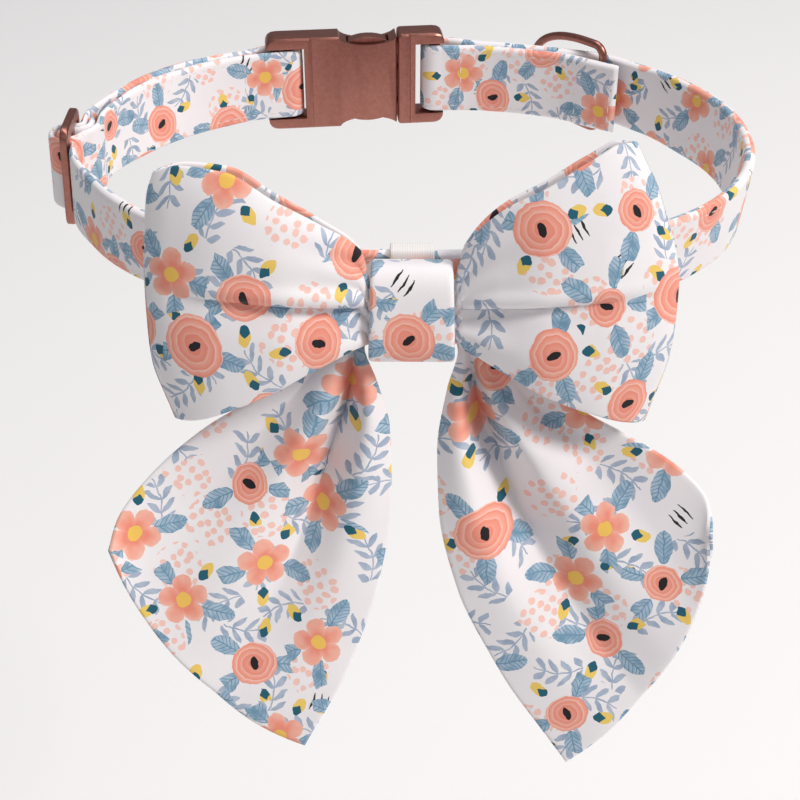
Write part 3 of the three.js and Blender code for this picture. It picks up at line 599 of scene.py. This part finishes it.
def buildRing():
    halfWidth, corner = ringLook["halfWidth"], ringLook["corner"]
    reach = ringLook["depth"] - corner
    line = []
    for angle in np.linspace(-90, 90, 90):
        a = math.radians(angle)
        line.append((corner + reach * float(power(math.cos(a), 2 / ringLook["squareness"])),
                     halfWidth * float(power(math.sin(a), 2 / ringLook["squareness"]))))
    line += [(x, halfWidth - corner + z) for x, z in turnSpots(corner, 0, corner, 90, 180, 12)[1:]]
    line += [(0, y) for y in np.linspace(halfWidth - corner, corner - halfWidth, 24)[1:-1]]
    line += [(x, corner - halfWidth + z) for x, z in turnSpots(corner, 0, corner, 180, 270, 12)[:-1]]
    line = np.array(line + line[:1])
    ahead = np.gradient(line, axis=0)
    ahead[0] = ahead[-1] = line[1] - line[-2]
    ahead = unit(ahead)
    point, along, outwards, rise = neckAt(ringAt)
    point = point + rise * ringLook["raised"]
    lean = math.radians(ringLook["lean"])
    reachWay = along * math.cos(lean) + outwards * math.sin(lean)
    faceWay = np.cross(reachWay, rise)
    turn = np.linspace(0, 2 * np.pi, 25)[None, :, None]
    side = (ahead[:, 1:2] * reachWay - ahead[:, :1] * rise)[:, None, :]
    centre = (point + line[:, :1] * reachWay + line[:, 1:] * rise)[:, None, :]
    grid = centre + ringLook["wire"] / 2 * (side * np.cos(turn) + faceWay * np.sin(turn))
    mesh = bpy.data.meshes.new("leashRing")
    mesh.from_pydata((grid.reshape(-1, 3) * mm).tolist(), [], gridFaces(*grid.shape[:2]).tolist())
    return closedPiece("leashRing", mesh, 2e-6)


socketPiece = softenedCopy("buckle_socket", castLook["socketEdge"])
prongPiece = softenedCopy("buckle_prongs", castLook["prongEdge"])
sliderPiece = softenedCopy("slider", castLook["sliderEdge"])
ringPiece = buildRing()
print("metal made")


# stitches: a thread laid on each point of a mesh, along and facing its own two ways

stitchLook = {
    "length": 2.1, "thread": 0.34, "spacing": 2.7, "seed": 5, "smallest": 0.93, "largest": 1.07,
    "longSeams": 0.9, "crossSeams": 0.02, "crossInset": 0.6, "fromHem": 1.5, "fromSewnEnd": 30.0}


def stitchTree():
    tree = bpy.data.node_groups.new("layStitches", "GeometryNodeTree")
    add = partial(addNode, tree)
    for name, way, kind in (
            ("Places", "INPUT", "Geometry"), ("Stitch Length", "INPUT", "Float"),
            ("Thread Width", "INPUT", "Float"), ("Thread", "INPUT", "Material"), ("Seed", "INPUT", "Int"),
            ("Stitches", "OUTPUT", "Geometry")):
        tree.interface.new_socket(name, in_out=way, socket_type="NodeSocket" + kind)
    given = tree.nodes.new("NodeGroupInput").outputs
    # one stitch: a short round thread that dives at both ends
    ball = add("GeometryNodeMeshUVSphere", None, 8, 6, 0.5)
    size = add("ShaderNodeCombineXYZ", None, given["Thread Width"], given["Thread Width"],
               given["Stitch Length"])
    stitch = add("GeometryNodeTransform", {"Geometry": ball, "Scale": size})
    along, facing = [add("GeometryNodeInputNamedAttribute", {"data_type": "FLOAT_VECTOR"}, name)
                     for name in ("along", "facing")]
    turned = add("FunctionNodeAxesToRotation", {"primary_axis": "Z", "secondary_axis": "X"}, along, facing)
    grown = add("FunctionNodeRandomValue", {"data_type": "FLOAT", "Seed": given["Seed"]},
                stitchLook["smallest"], stitchLook["largest"])
    points = add("GeometryNodeMeshToPoints", {"Mesh": given["Places"]})
    laid = add("GeometryNodeInstanceOnPoints", {
        "Points": points, "Instance": stitch, "Rotation": turned, "Scale": grown})
    smooth = add("GeometryNodeSetShadeSmooth", None, add("GeometryNodeRealizeInstances", None, laid))
    covered = add("GeometryNodeSetMaterial", {"Geometry": smooth, "Material": given["Thread"]})
    add("NodeGroupOutput", None, covered)
    return tree


# seams across the strap: how far along the neck line, how far outside it, and the face they show on
crossSeams = [
    (ringAt - 4.6, -3.0, -1), (ringAt + 6.4, -2.2, -1), (ringAt + 41, -2.0, -1), (ringAt + 41, 1.7, 1),
    (ringAt - 6.4, 2.2, 1), (ringAt + 6.4, 2.2, 1),
    (-0.25 * neckLength - 10, -4.2, -1), (fittings["buckleAt"] * neckLength - neckLength + 33, 1.7, 1),
    (fittings["buckleAt"] * neckLength - neckLength + 33, -1.7, -1)]


# rows of a seam: points on the cloth, the way the thread runs and the way it faces
def seamRow(points, facing):
    run = runLengths(points, 0)
    count = max(int(run[-1] / stitchLook["spacing"]), 2)
    spots = (np.arange(count) + 0.5) * run[-1] / count
    where = np.stack([np.interp(spots, run, points[:, k]) for k in range(3)], 1)
    ahead = np.stack([np.interp(spots, run, unit(np.gradient(points, axis=0))[:, k]) for k in range(3)], 1)
    face = np.stack([np.interp(spots, run, facing[:, k]) for k in range(3)], 1)
    return np.concatenate([where, unit(ahead), unit(face)], 1)


def strapSeams():
    centre, rise, thick, outwards = (strapRoute[:, :3], unit(strapRoute[:, 3:6]), strapRoute[:, 6],
                                     unit(strapRoute[:, 7:10]))
    normal = unit(np.cross(unit(np.gradient(centre, axis=0)), rise))
    inset = strapLook["width"] / 2 - strapLook["seamInset"]
    offsets = np.array([ontoNeck(p * (1, 1, 0), 0)[1] for p in centre])
    flat = np.abs((normal * outwards).sum(1)) > 0.9
    found = []
    for side in (-1, 1):
        # the face that looks outwards on outer and single lengths, and inwards on inner and single ones
        facing = normal * np.sign((normal * outwards).sum(1))[:, None] * side
        shown = flat & (offsets * side > -0.6) & (strapRun > stitchLook["fromHem"])
        shown = shown & (strapRun < strapRun[-1] - stitchLook["fromSewnEnd"])
        for up in (-inset, inset):
            sunk = (thick / 2 - strapLook["seamDip"] * stitchLook["longSeams"])[:, None]
            points = centre + rise * up + facing * sunk
            edges = np.flatnonzero(np.diff(np.concatenate([[0], shown.astype(int), [0]])))
            for start, end in zip(edges[::2], edges[1::2]):
                if end - start > 14:
                    found.append(seamRow(points[start:end], facing[start:end]))
    for length, out, side in crossSeams:
        place = neckAt(length)[0] + neckAt(length)[2] * out
        i = int(np.argmin(np.linalg.norm(centre - place, axis=1)))
        facing = normal[i] * np.sign(normal[i] @ outwards[i]) * side
        half = inset - stitchLook["crossInset"]
        span = np.linspace(-half, half, 30)[:, None]
        points = centre[i] + facing * (thick[i] / 2 + stitchLook["crossSeams"]) + rise[i] * span
        found.append(seamRow(points, np.broadcast_to(facing, points.shape)))
    return np.concatenate(found)


def layStitches(name, rows, thread):
    mesh = bpy.data.meshes.new(name + "Places")
    mesh.from_pydata(rows[:, :3].tolist(), [], [])
    for key, columns in (("along", slice(3, 6)), ("facing", slice(6, 9))):
        ways = mesh.attributes.new(key, "FLOAT_VECTOR", "POINT")
        ways.data.foreach_set("vector", rows[:, columns].ravel())
    places = linkObject(name + "Places", mesh)
    modifier = places.modifiers.new("stitches", "NODES")
    modifier.node_group = stitchGroup
    values = {"Stitch Length": stitchLook["length"], "Thread Width": stitchLook["thread"],
              "Thread": thread, "Seed": stitchLook["seed"]}
    for item in stitchGroup.interface.items_tree:
        if item.in_out == "INPUT" and item.name in values:
            modifier[item.identifier] = values[item.name]
    graph = bpy.context.evaluated_depsgraph_get()
    made = bpy.data.meshes.new_from_object(places.evaluated_get(graph))
    bpy.data.objects.remove(places)
    made.transform(Matrix.Scale(mm, 4))
    return linkObject(name, made)


# materials

# a material, the way to add nodes to it, and its shader's inputs
def newMaterial(name, values):
    material = bpy.data.materials.new(name)
    material.use_nodes = True
    tree = material.node_tree
    shader = tree.nodes["Principled BSDF"]
    for key, value in values.items():
        feed(shader.inputs[key], value)
    return material, partial(addNode, tree), shader.inputs


# every motif of the flower print is drawn about the nearest of its scattered centres and turned at random
printLook = {
    "angle": 31.0, "cloth": "#f7f4f5", "clothShade": "#efeaee", "brush": 0.9,
    "clusterSpacing": 20.0, "clusterLoose": 0.55, "scrapSpacing": 12.0, "scrapLoose": 0.6,
    "roseRadius": 5.9, "roseRing": 1.45, "rose": "#f8b2a0", "roseLight": "#fcd0c2", "roseDeep": "#ec8a76",
    "roseMid": "#f2957f", "heart": "#1d1a1f",
    "bloomRadius": 5.9, "bloom": "#f0917b", "bloomLight": "#f8c0ae", "pollen": "#f3c55f",
    "pollenRadius": 1.7, "heartRadius": 1.35,
    "leafLength": 7.8, "leafWidth": 2.15, "leafFrom": 4.4, "leaf": "#aec4d6", "leafDeep": "#7097b1",
    "veinStep": 0.55, "veinWidth": 0.13, "midrib": 0.15,
    "budLength": 4.8, "budWidth": 1.4, "budFrom": 6.2, "cupTo": 9.0, "bud": "#f2cf6b", "calyx": "#1f5f73",
    "sprigReach": 5.6, "sprigStep": 1.5, "sprigLeaf": 3.3, "stem": 0.18, "sprig": "#bac5d5",
    "sprigDeep": "#9aabc3", "dot": "#f8cbc0", "dotRadius": 0.8, "dotSpacing": 2.4, "dotReach": 5.6,
    "dash": "#2a2628", "dashReach": 2.1, "dashGap": 0.85, "dashRows": 2.2, "thread": 0.5,
}
# each scattered centre draws a chance from 0 to 1, and holds the motif whose limits it falls between
chanceOf = {
    "rose": (-1.0, 0.6), "bloom": (0.6, 0.94), "anyFlower": (-1.0, 0.94), "leaf": (-1.0, 0.6),
    "bud": (0.66, 1.1), "sprig": (0.0, 0.5), "dots": (0.5, 0.8), "dashes": (0.8, 0.93)}


def printedCloth():
    look = printLook
    material, add, surface = newMaterial("printedCotton", {
        "Roughness": 0.82, "Specular IOR Level": 0.3, "Sheen Weight": 0.25, "Sheen Roughness": 0.45})
    number, vector, mix = "ShaderNodeMath", "ShaderNodeVectorMath", "ShaderNodeMix"
    rgba = {"data_type": "RGBA"}
    flat = {"noise_dimensions": "2D"}
    uv = add("ShaderNodeUVMap", {"uv_map": "clothPlace"})
    # the painted edge of every motif wanders a little, as a brush does
    brush = add("ShaderNodeTexNoise", flat, uv, 0.4, 2.0, 0.5).node.outputs["Color"]
    brush = add(vector, "SUBTRACT", brush, (0.5, 0.5, 0.5))
    brush = add(vector, {"operation": "SCALE", "Scale": look["brush"]}, brush)
    drawn = add(vector, "ADD", uv, brush)
    drawn = add("ShaderNodeVectorRotate", {
        "rotation_type": "Z_AXIS", "Angle": math.radians(look["angle"])}, drawn)
    # watercolour wash, for tones within a leaf or petal
    wash = add("ShaderNodeTexNoise", flat, uv, 0.35, 1.0, 0.5)

    # the place from the nearest scattered centre, turned at random, and two chances of that centre's own
    def scatter(spacing, loose, shift):
        moved = add(vector, "ADD", drawn, (shift, shift * 0.6, 0))
        cells = add("ShaderNodeTexVoronoi", {
            "voronoi_dimensions": "2D", "Scale": 1 / spacing, "Randomness": loose}, moved).node
        offset = add(vector, "SUBTRACT", moved, cells.outputs["Position"])
        chances = add("ShaderNodeSeparateColor", None, cells.outputs["Color"]).node.outputs
        spin = add(number, "MULTIPLY", chances[2], 2 * math.pi)
        local = add("ShaderNodeVectorRotate", {"rotation_type": "Z_AXIS", "Angle": spin}, offset)
        return local, chances[0], chances[1]

    def drawnAs(motif, chance):
        low, high = chanceOf[motif]
        above = add(number, "GREATER_THAN", chance, low)
        below = add(number, "LESS_THAN", chance, high)
        return add(number, "MULTIPLY", above, below)

    def allOf(*masks):
        result = masks[0]
        for mask in masks[1:]:
            result = add(number, "MULTIPLY", result, mask)
        return result

    # a pointed leaf along x, from 0 to its length
    def leafShape(x, y, length, width):
        share = add(number, "DIVIDE", x, length)
        rest = add(number, "SUBTRACT", 1.0, share)
        belly = add(number, "MULTIPLY", share, rest)
        belly = add(number, "MAXIMUM", belly, 0.0)
        belly = add(number, "POWER", belly, 0.62)
        edge = add(number, "MULTIPLY", belly, width * 2.3)
        side = add(number, "ABSOLUTE", y)
        return add(number, "LESS_THAN", side, edge)

    # scraps between the flowers: sprigs, clouds of dots, ink dashes
    mottle = add("ShaderNodeTexNoise", flat, uv, 0.06, 2.0, 0.5)
    colour = add(mix, rgba, mottle, look["cloth"], look["clothShade"])
    local, chance, tint = scatter(look["scrapSpacing"], look["scrapLoose"], 7.0)
    x, y = add("ShaderNodeSeparateXYZ", None, local).node.outputs[:2]
    away = add(vector, "LENGTH", local).node.outputs["Value"]
    reach = add(number, "ABSOLUTE", x)

    # a sprig: a bent stem with a slanting leaf each 3 mm, on both sides
    bend = add(number, "MULTIPLY", x, x)
    bend = add(number, "MULTIPLY_ADD", bend, 0.04, y)
    side = add(number, "ABSOLUTE", bend)
    slant = add(number, "MULTIPLY_ADD", side, -0.8, x)
    step = add(number, "PINGPONG", slant, look["sprigStep"])
    rest = add(number, "SUBTRACT", look["sprigLeaf"], side)
    belly = add(number, "MULTIPLY", side, rest)
    belly = add(number, "MULTIPLY", belly, 0.33)
    leaves = add(number, "LESS_THAN", step, belly)
    stem = add(number, "LESS_THAN", side, look["stem"])
    sprig = add(number, "MAXIMUM", leaves, stem)
    inReach = add(number, "LESS_THAN", reach, look["sprigReach"])
    tone = add(number, "MULTIPLY_ADD", wash, 1.8, -0.4)
    tone = add(mix, rgba, tone, look["sprig"], look["sprigDeep"])
    mask = allOf(sprig, inReach, drawnAs("sprig", chance))
    colour = add(mix, rgba, mask, colour, tone)

    # a cloud of pale dots
    dots = add("ShaderNodeTexVoronoi", {
        "voronoi_dimensions": "2D", "Scale": 1 / look["dotSpacing"], "Randomness": 0.55}, drawn)
    dot = add(number, "LESS_THAN", dots, look["dotRadius"] / look["dotSpacing"])
    cloud = add(number, "LESS_THAN", away, look["dotReach"])
    mask = allOf(dot, cloud, drawnAs("dots", chance))
    colour = add(mix, rgba, mask, colour, look["dot"])

    # three ink dashes, pointed at both ends
    row = add(number, "PINGPONG", y, look["dashGap"])
    fade = add(number, "MULTIPLY_ADD", reach, -0.11, 0.32)
    dash = add(number, "LESS_THAN", row, fade)
    tall = add(number, "ABSOLUTE", y)
    dashRows = add(number, "LESS_THAN", tall, look["dashRows"])
    dashReach = add(number, "LESS_THAN", reach, look["dashReach"])
    mask = allOf(dash, dashRows, dashReach, drawnAs("dashes", chance))
    colour = add(mix, rgba, mask, colour, look["dash"])

    # clusters: leaves and buds round a rose or an open bloom
    local, kind, size = scatter(look["clusterSpacing"], look["clusterLoose"], 0.0)
    x, y = add("ShaderNodeSeparateXYZ", None, local).node.outputs[:2]
    away = add(vector, "LENGTH", local).node.outputs["Value"]
    angle = add(number, "ARCTAN2", y, x)
    # the ring round the flower has five sectors; each holds a leaf, a bud or nothing
    fifth = 2 * math.pi / 5
    whole = add(number, "MULTIPLY_ADD", angle, 1 / fifth, 2.9)
    sector = add(number, "FLOOR", whole)
    part = add(number, "SUBTRACT", whole, sector)
    part = add(number, "MULTIPLY_ADD", part, fifth, -fifth / 2)
    sine = add(number, "SINE", part)
    cosine = add(number, "COSINE", part)
    along = add(number, "MULTIPLY", away, cosine)
    across = add(number, "MULTIPLY", away, sine)
    draw = add(number, "MULTIPLY_ADD", sector, 0.37, size)
    draw = add(number, "FRACT", draw)
    shown = drawnAs("anyFlower", kind)
    fromStart = add(number, "SUBTRACT", along, look["leafFrom"])
    leaf = leafShape(fromStart, across, look["leafLength"], look["leafWidth"])
    ribs = add(number, "ABSOLUTE", across)
    midrib = add(number, "LESS_THAN", ribs, look["midrib"])
    comb = add(number, "MULTIPLY_ADD", ribs, -0.9, fromStart)
    comb = add(number, "PINGPONG", comb, look["veinStep"])
    comb = add(number, "LESS_THAN", comb, look["veinWidth"])
    veins = add(number, "MAXIMUM", midrib, comb)
    shade = add(number, "MULTIPLY_ADD", wash, 2.2, -0.8)
    shade = add(number, "MAXIMUM", shade, veins)
    shade = add(mix, rgba, shade, look["leaf"], look["leafDeep"])
    mask = allOf(leaf, drawnAs("leaf", draw), shown)
    colour = add(mix, rgba, mask, colour, shade)

    # a yellow bud in a dark cup
    fromStart = add(number, "SUBTRACT", along, look["budFrom"])
    bud = leafShape(fromStart, across, look["budLength"], look["budWidth"])
    bud = allOf(bud, drawnAs("bud", draw), shown)
    colour = add(mix, rgba, bud, colour, look["bud"])
    cup = add(number, "MULTIPLY_ADD", ribs, 1.1, along)
    cup = add(number, "LESS_THAN", cup, look["cupTo"])
    colour = add(mix, rgba, allOf(bud, cup), colour, look["calyx"])

    # an open bloom: five petals, paler at their rims, with a pollen heart
    isBloom = drawnAs("bloom", kind)
    petal = add(number, "MULTIPLY", angle, 2.5)
    petal = add(number, "COSINE", petal)
    petal = add(number, "ABSOLUTE", petal)
    petal = add(number, "POWER", petal, 0.55)
    radius = look["bloomRadius"]
    petal = add(number, "MULTIPLY_ADD", petal, 0.45 * radius, 0.55 * radius)
    mask = allOf(add(number, "LESS_THAN", away, petal), isBloom)
    rim = add(number, "DIVIDE", away, petal)
    rim = add(number, "MULTIPLY_ADD", rim, 1.3, -0.9)
    rim = add(number, {"operation": "MULTIPLY_ADD", "use_clamp": True}, wash, 0.9, rim)
    petals = add(mix, rgba, rim, look["bloom"], look["bloomLight"])
    colour = add(mix, rgba, mask, colour, petals)
    pollen = add(number, "LESS_THAN", away, look["pollenRadius"])
    colour = add(mix, rgba, allOf(pollen, isBloom), colour, look["pollen"])

    # a rose: petal rims wound into a spiral, deeper towards a dark heart
    isRose = drawnAs("rose", kind)
    oval = add(vector, "MULTIPLY", local, (1.0, 1.12, 1.0))
    oval = add(vector, "LENGTH", oval).node.outputs["Value"]
    grown = add(number, "MULTIPLY_ADD", size, 0.5, 0.72)
    fromHeart = add(number, "DIVIDE", oval, grown)
    turnShare = look["roseRing"] / (2 * math.pi)
    wound = add(number, "MULTIPLY_ADD", angle, turnShare, fromHeart)
    wound = add(number, "DIVIDE", wound, look["roseRing"])
    wound = add(number, "FRACT", wound)
    rims = add("ShaderNodeValToRGB", None, wound)
    stops = rims.node.color_ramp.elements
    stops[1].position = 0.16
    for spot in (0.36, 1.0):
        stops.new(spot)
    for stop, name in zip(stops, ("roseMid", "roseLight", "rose", "roseMid")):
        stop.color = linear(look[name])
    deep = add(number, {"operation": "MULTIPLY_ADD", "use_clamp": True}, fromHeart, -0.24, 1.05)
    rose = add(mix, rgba, deep, rims, look["roseDeep"])
    mask = allOf(add(number, "LESS_THAN", fromHeart, look["roseRadius"]), isRose)
    colour = add(mix, rgba, mask, colour, rose)
    heart = add(vector, "MULTIPLY", local, (1.45, 0.85, 1.0))
    heart = add(vector, "LENGTH", heart).node.outputs["Value"]
    heart = add(number, "LESS_THAN", heart, look["heartRadius"])
    colour = add(mix, rgba, allOf(heart, isRose), colour, look["heart"])
    feed(surface["Base Color"], colour)

    # plain weave; it keeps the cloth from looking like card when seen close
    threads = add(vector, {"operation": "SCALE", "Scale": 2 * math.pi / look["thread"]}, uv)
    warp, weft = add("ShaderNodeSeparateXYZ", None, threads).node.outputs[:2]
    warp = add(number, "SINE", warp)
    weft = add(number, "SINE", weft)
    weave = add(number, "MULTIPLY", warp, weft)
    slub = add("ShaderNodeTexNoise", flat, uv, 1.1, 3.0, 0.6)
    height = add(number, "MULTIPLY_ADD", slub, 1.6, weave)
    bump = add("ShaderNodeBump", {"Strength": 0.3, "Distance": 0.00003, "Height": height})
    feed(surface["Normal"], bump)
    return material


# mercerised cotton thread: twisted, with a faint shine along each stitch
def cottonThread():
    material, add, surface = newMaterial("whiteCottonThread", {
        "Roughness": 0.6, "Specular IOR Level": 0.4, "Sheen Weight": 0.2})
    place = add("ShaderNodeTexCoord").node.outputs["Object"]
    twist = add("ShaderNodeTexNoise", None, place, 4000.0, 2.0, 0.5)
    tone = add("ShaderNodeMix", {"data_type": "RGBA"}, twist, "#f7f1ee", "#dccfcb")
    feed(surface["Base Color"], tone)
    return material


# knitted elastic: fine ribs round the loop, matt, with painted shade that greys the grooves
def knittedElastic():
    material, add, surface = newMaterial("knittedElastic", {"Roughness": 0.88, "Sheen Weight": 0.2})
    uv = add("ShaderNodeUVMap", {"uv_map": "clothPlace"})
    across = add("ShaderNodeSeparateXYZ", None, uv)
    ribs = add("ShaderNodeMath", "PINGPONG", across, 0.28)
    ribs = add("ShaderNodeMath", "MULTIPLY", ribs, 3.6)
    # painted shade: the colour greys towards each groove, where the ribs' bump sinks
    tone = add("ShaderNodeMix", {"data_type": "RGBA"}, ribs, "#e2dedc", "#f0edeb")
    feed(surface["Base Color"], tone)
    bump = add("ShaderNodeBump", {"Strength": 0.35, "Distance": 0.0001, "Height": ribs})
    feed(surface["Normal"], bump)
    return material


# zinc cast, plated rose gold and tumbled: satin, faintly mottled, so that highlights spread softly
def roseGold():
    material, add, surface = newMaterial("satinRoseGold", {"Metallic": 1.0})
    place = add("ShaderNodeTexCoord").node.outputs["Object"]
    mottle = add("ShaderNodeTexNoise", None, place, 900.0, 3.0, 0.6)
    tone = add("ShaderNodeMix", {"data_type": "RGBA"}, mottle, "#985f54", "#b27e72")
    feed(surface["Base Color"], tone)
    grain = add("ShaderNodeTexNoise", None, place, 2400.0, 3.0, 0.65)
    rough = add("ShaderNodeMath", "MULTIPLY_ADD", grain, 0.24, 0.24)
    feed(surface["Roughness"], rough)
    bump = add("ShaderNodeBump", {"Strength": 0.3, "Distance": 0.00006, "Height": grain})
    feed(surface["Normal"], bump)
    return material


printedCotton, whiteThread = printedCloth(), cottonThread()
whiteElastic, satinMetal = knittedElastic(), roseGold()
stitchGroup = stitchTree()
strapStitches = layStitches("strapStitches", strapSeams(), whiteThread)
print("seams sewn:", len(strapStitches.data.polygons), "faces of thread")

for piece in (strapPiece, wingPiece, leftPiece, rightPiece, knotPiece):
    piece.data.materials.append(printedCotton)
elasticPiece.data.materials.append(whiteElastic)
for piece in (socketPiece, prongPiece, sliderPiece, ringPiece):
    piece.data.materials.append(satinMetal)


# floor, light and camera

studio = {
    "floorBelow": 300.0, "floorHalf": 9.0, "floorColour": "#fbfafa", "skyColour": "#f2f3f6", "sky": 0.26}
lamps = {
    "key": {"at": (2.0, -0.9, 2.2), "size": 0.9, "watts": 66, "colour": "#fffaf6"},
    "front": {"at": (-0.5, -2.4, 1.8), "size": 1.4, "watts": 3.5, "colour": "#f8f9ff"},
    "top": {"at": (0.2, 0.6, 2.8), "size": 1.6, "watts": 34, "colour": "#ffffff"},
}
viewer = {"distance": 400.0, "height": 27.5, "aimDown": 8.67, "aimLeft": 0.53, "lens": 68.5}


def layFloor():
    low = cadBox[0][2] - studio["floorBelow"] * mm
    mesh = bpy.data.meshes.new("floor")
    far = studio["floorHalf"]
    corners = [(-far, -far, low), (far, -far, low), (far, far, low), (-far, far, low)]
    mesh.from_pydata(corners, [], [(0, 1, 2, 3)])
    material, add, surface = newMaterial("mattFloorPaint", {
        "Specular IOR Level": 0.1, "Base Color": studio["floorColour"]})
    place = add("ShaderNodeTexCoord").node.outputs["Object"]
    speck = add("ShaderNodeTexNoise", None, place, 60.0, 2.0, 0.5)
    feed(surface["Roughness"], add("ShaderNodeMath", "MULTIPLY_ADD", speck, 0.1, 0.85))
    mesh.materials.append(material)
    return linkObject("floor", mesh)


def hangLamps():
    for name, lamp in lamps.items():
        light = bpy.data.lights.new(name, "AREA")
        light.shape = "DISK"
        light.size = lamp["size"]
        light.energy = lamp["watts"]
        light.color = linear(lamp["colour"])[:3]
        holder = linkObject(name, light)
        holder.location = lamp["at"]
        holder.rotation_euler = (-Vector(lamp["at"])).to_track_quat("-Z", "Y").to_euler()


def lightRoom():
    world = bpy.data.worlds.new("paleRoom")
    world.use_nodes = True
    air = world.node_tree.nodes["Background"].inputs
    feed(air["Color"], studio["skyColour"])
    feed(air["Strength"], studio["sky"])
    bpy.context.scene.world = world


def placeCamera():
    camera = bpy.data.cameras.new("viewer")
    camera.lens = viewer["lens"]
    camera.sensor_width = 36
    camera.clip_start = 0.02
    holder = linkObject("viewer", camera)
    high = math.radians(viewer["height"])
    holder.location = Vector((0, -math.cos(high), math.sin(high))) * viewer["distance"] * mm
    down = math.radians(viewer["height"] + viewer["aimDown"])
    holder.rotation_euler = (math.pi / 2 - down, 0, math.radians(viewer["aimLeft"]))
    bpy.context.scene.camera = holder


floorPiece = layFloor()
hangLamps()
lightRoom()
placeCamera()
bpy.context.scene.view_settings.view_transform = "Standard"
print("studio set")


# what each piece rides on and stands for

standsFor = [
    (strapPiece, "collar_strap", "printed_cotton"), (wingPiece, "bow_loops", "printed_cotton"),
    (leftPiece, "tail_left", "printed_cotton"), (rightPiece, "tail_right", "printed_cotton"),
    (knotPiece, "bow_knot", "printed_cotton"), (elasticPiece, "bow_elastic", "white_elastic"),
    (socketPiece, "buckle_socket", "rose_gold_metal"), (prongPiece, "buckle_prongs", "rose_gold_metal"),
    (sliderPiece, "slider", "rose_gold_metal"), (ringPiece, "d_ring", "rose_gold_metal")]
for piece, node, slot in standsFor:
    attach(piece, "leash_ring" if node == "d_ring" else "collar")
    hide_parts(node)
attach(strapStitches, "collar")

print("pieces ready")
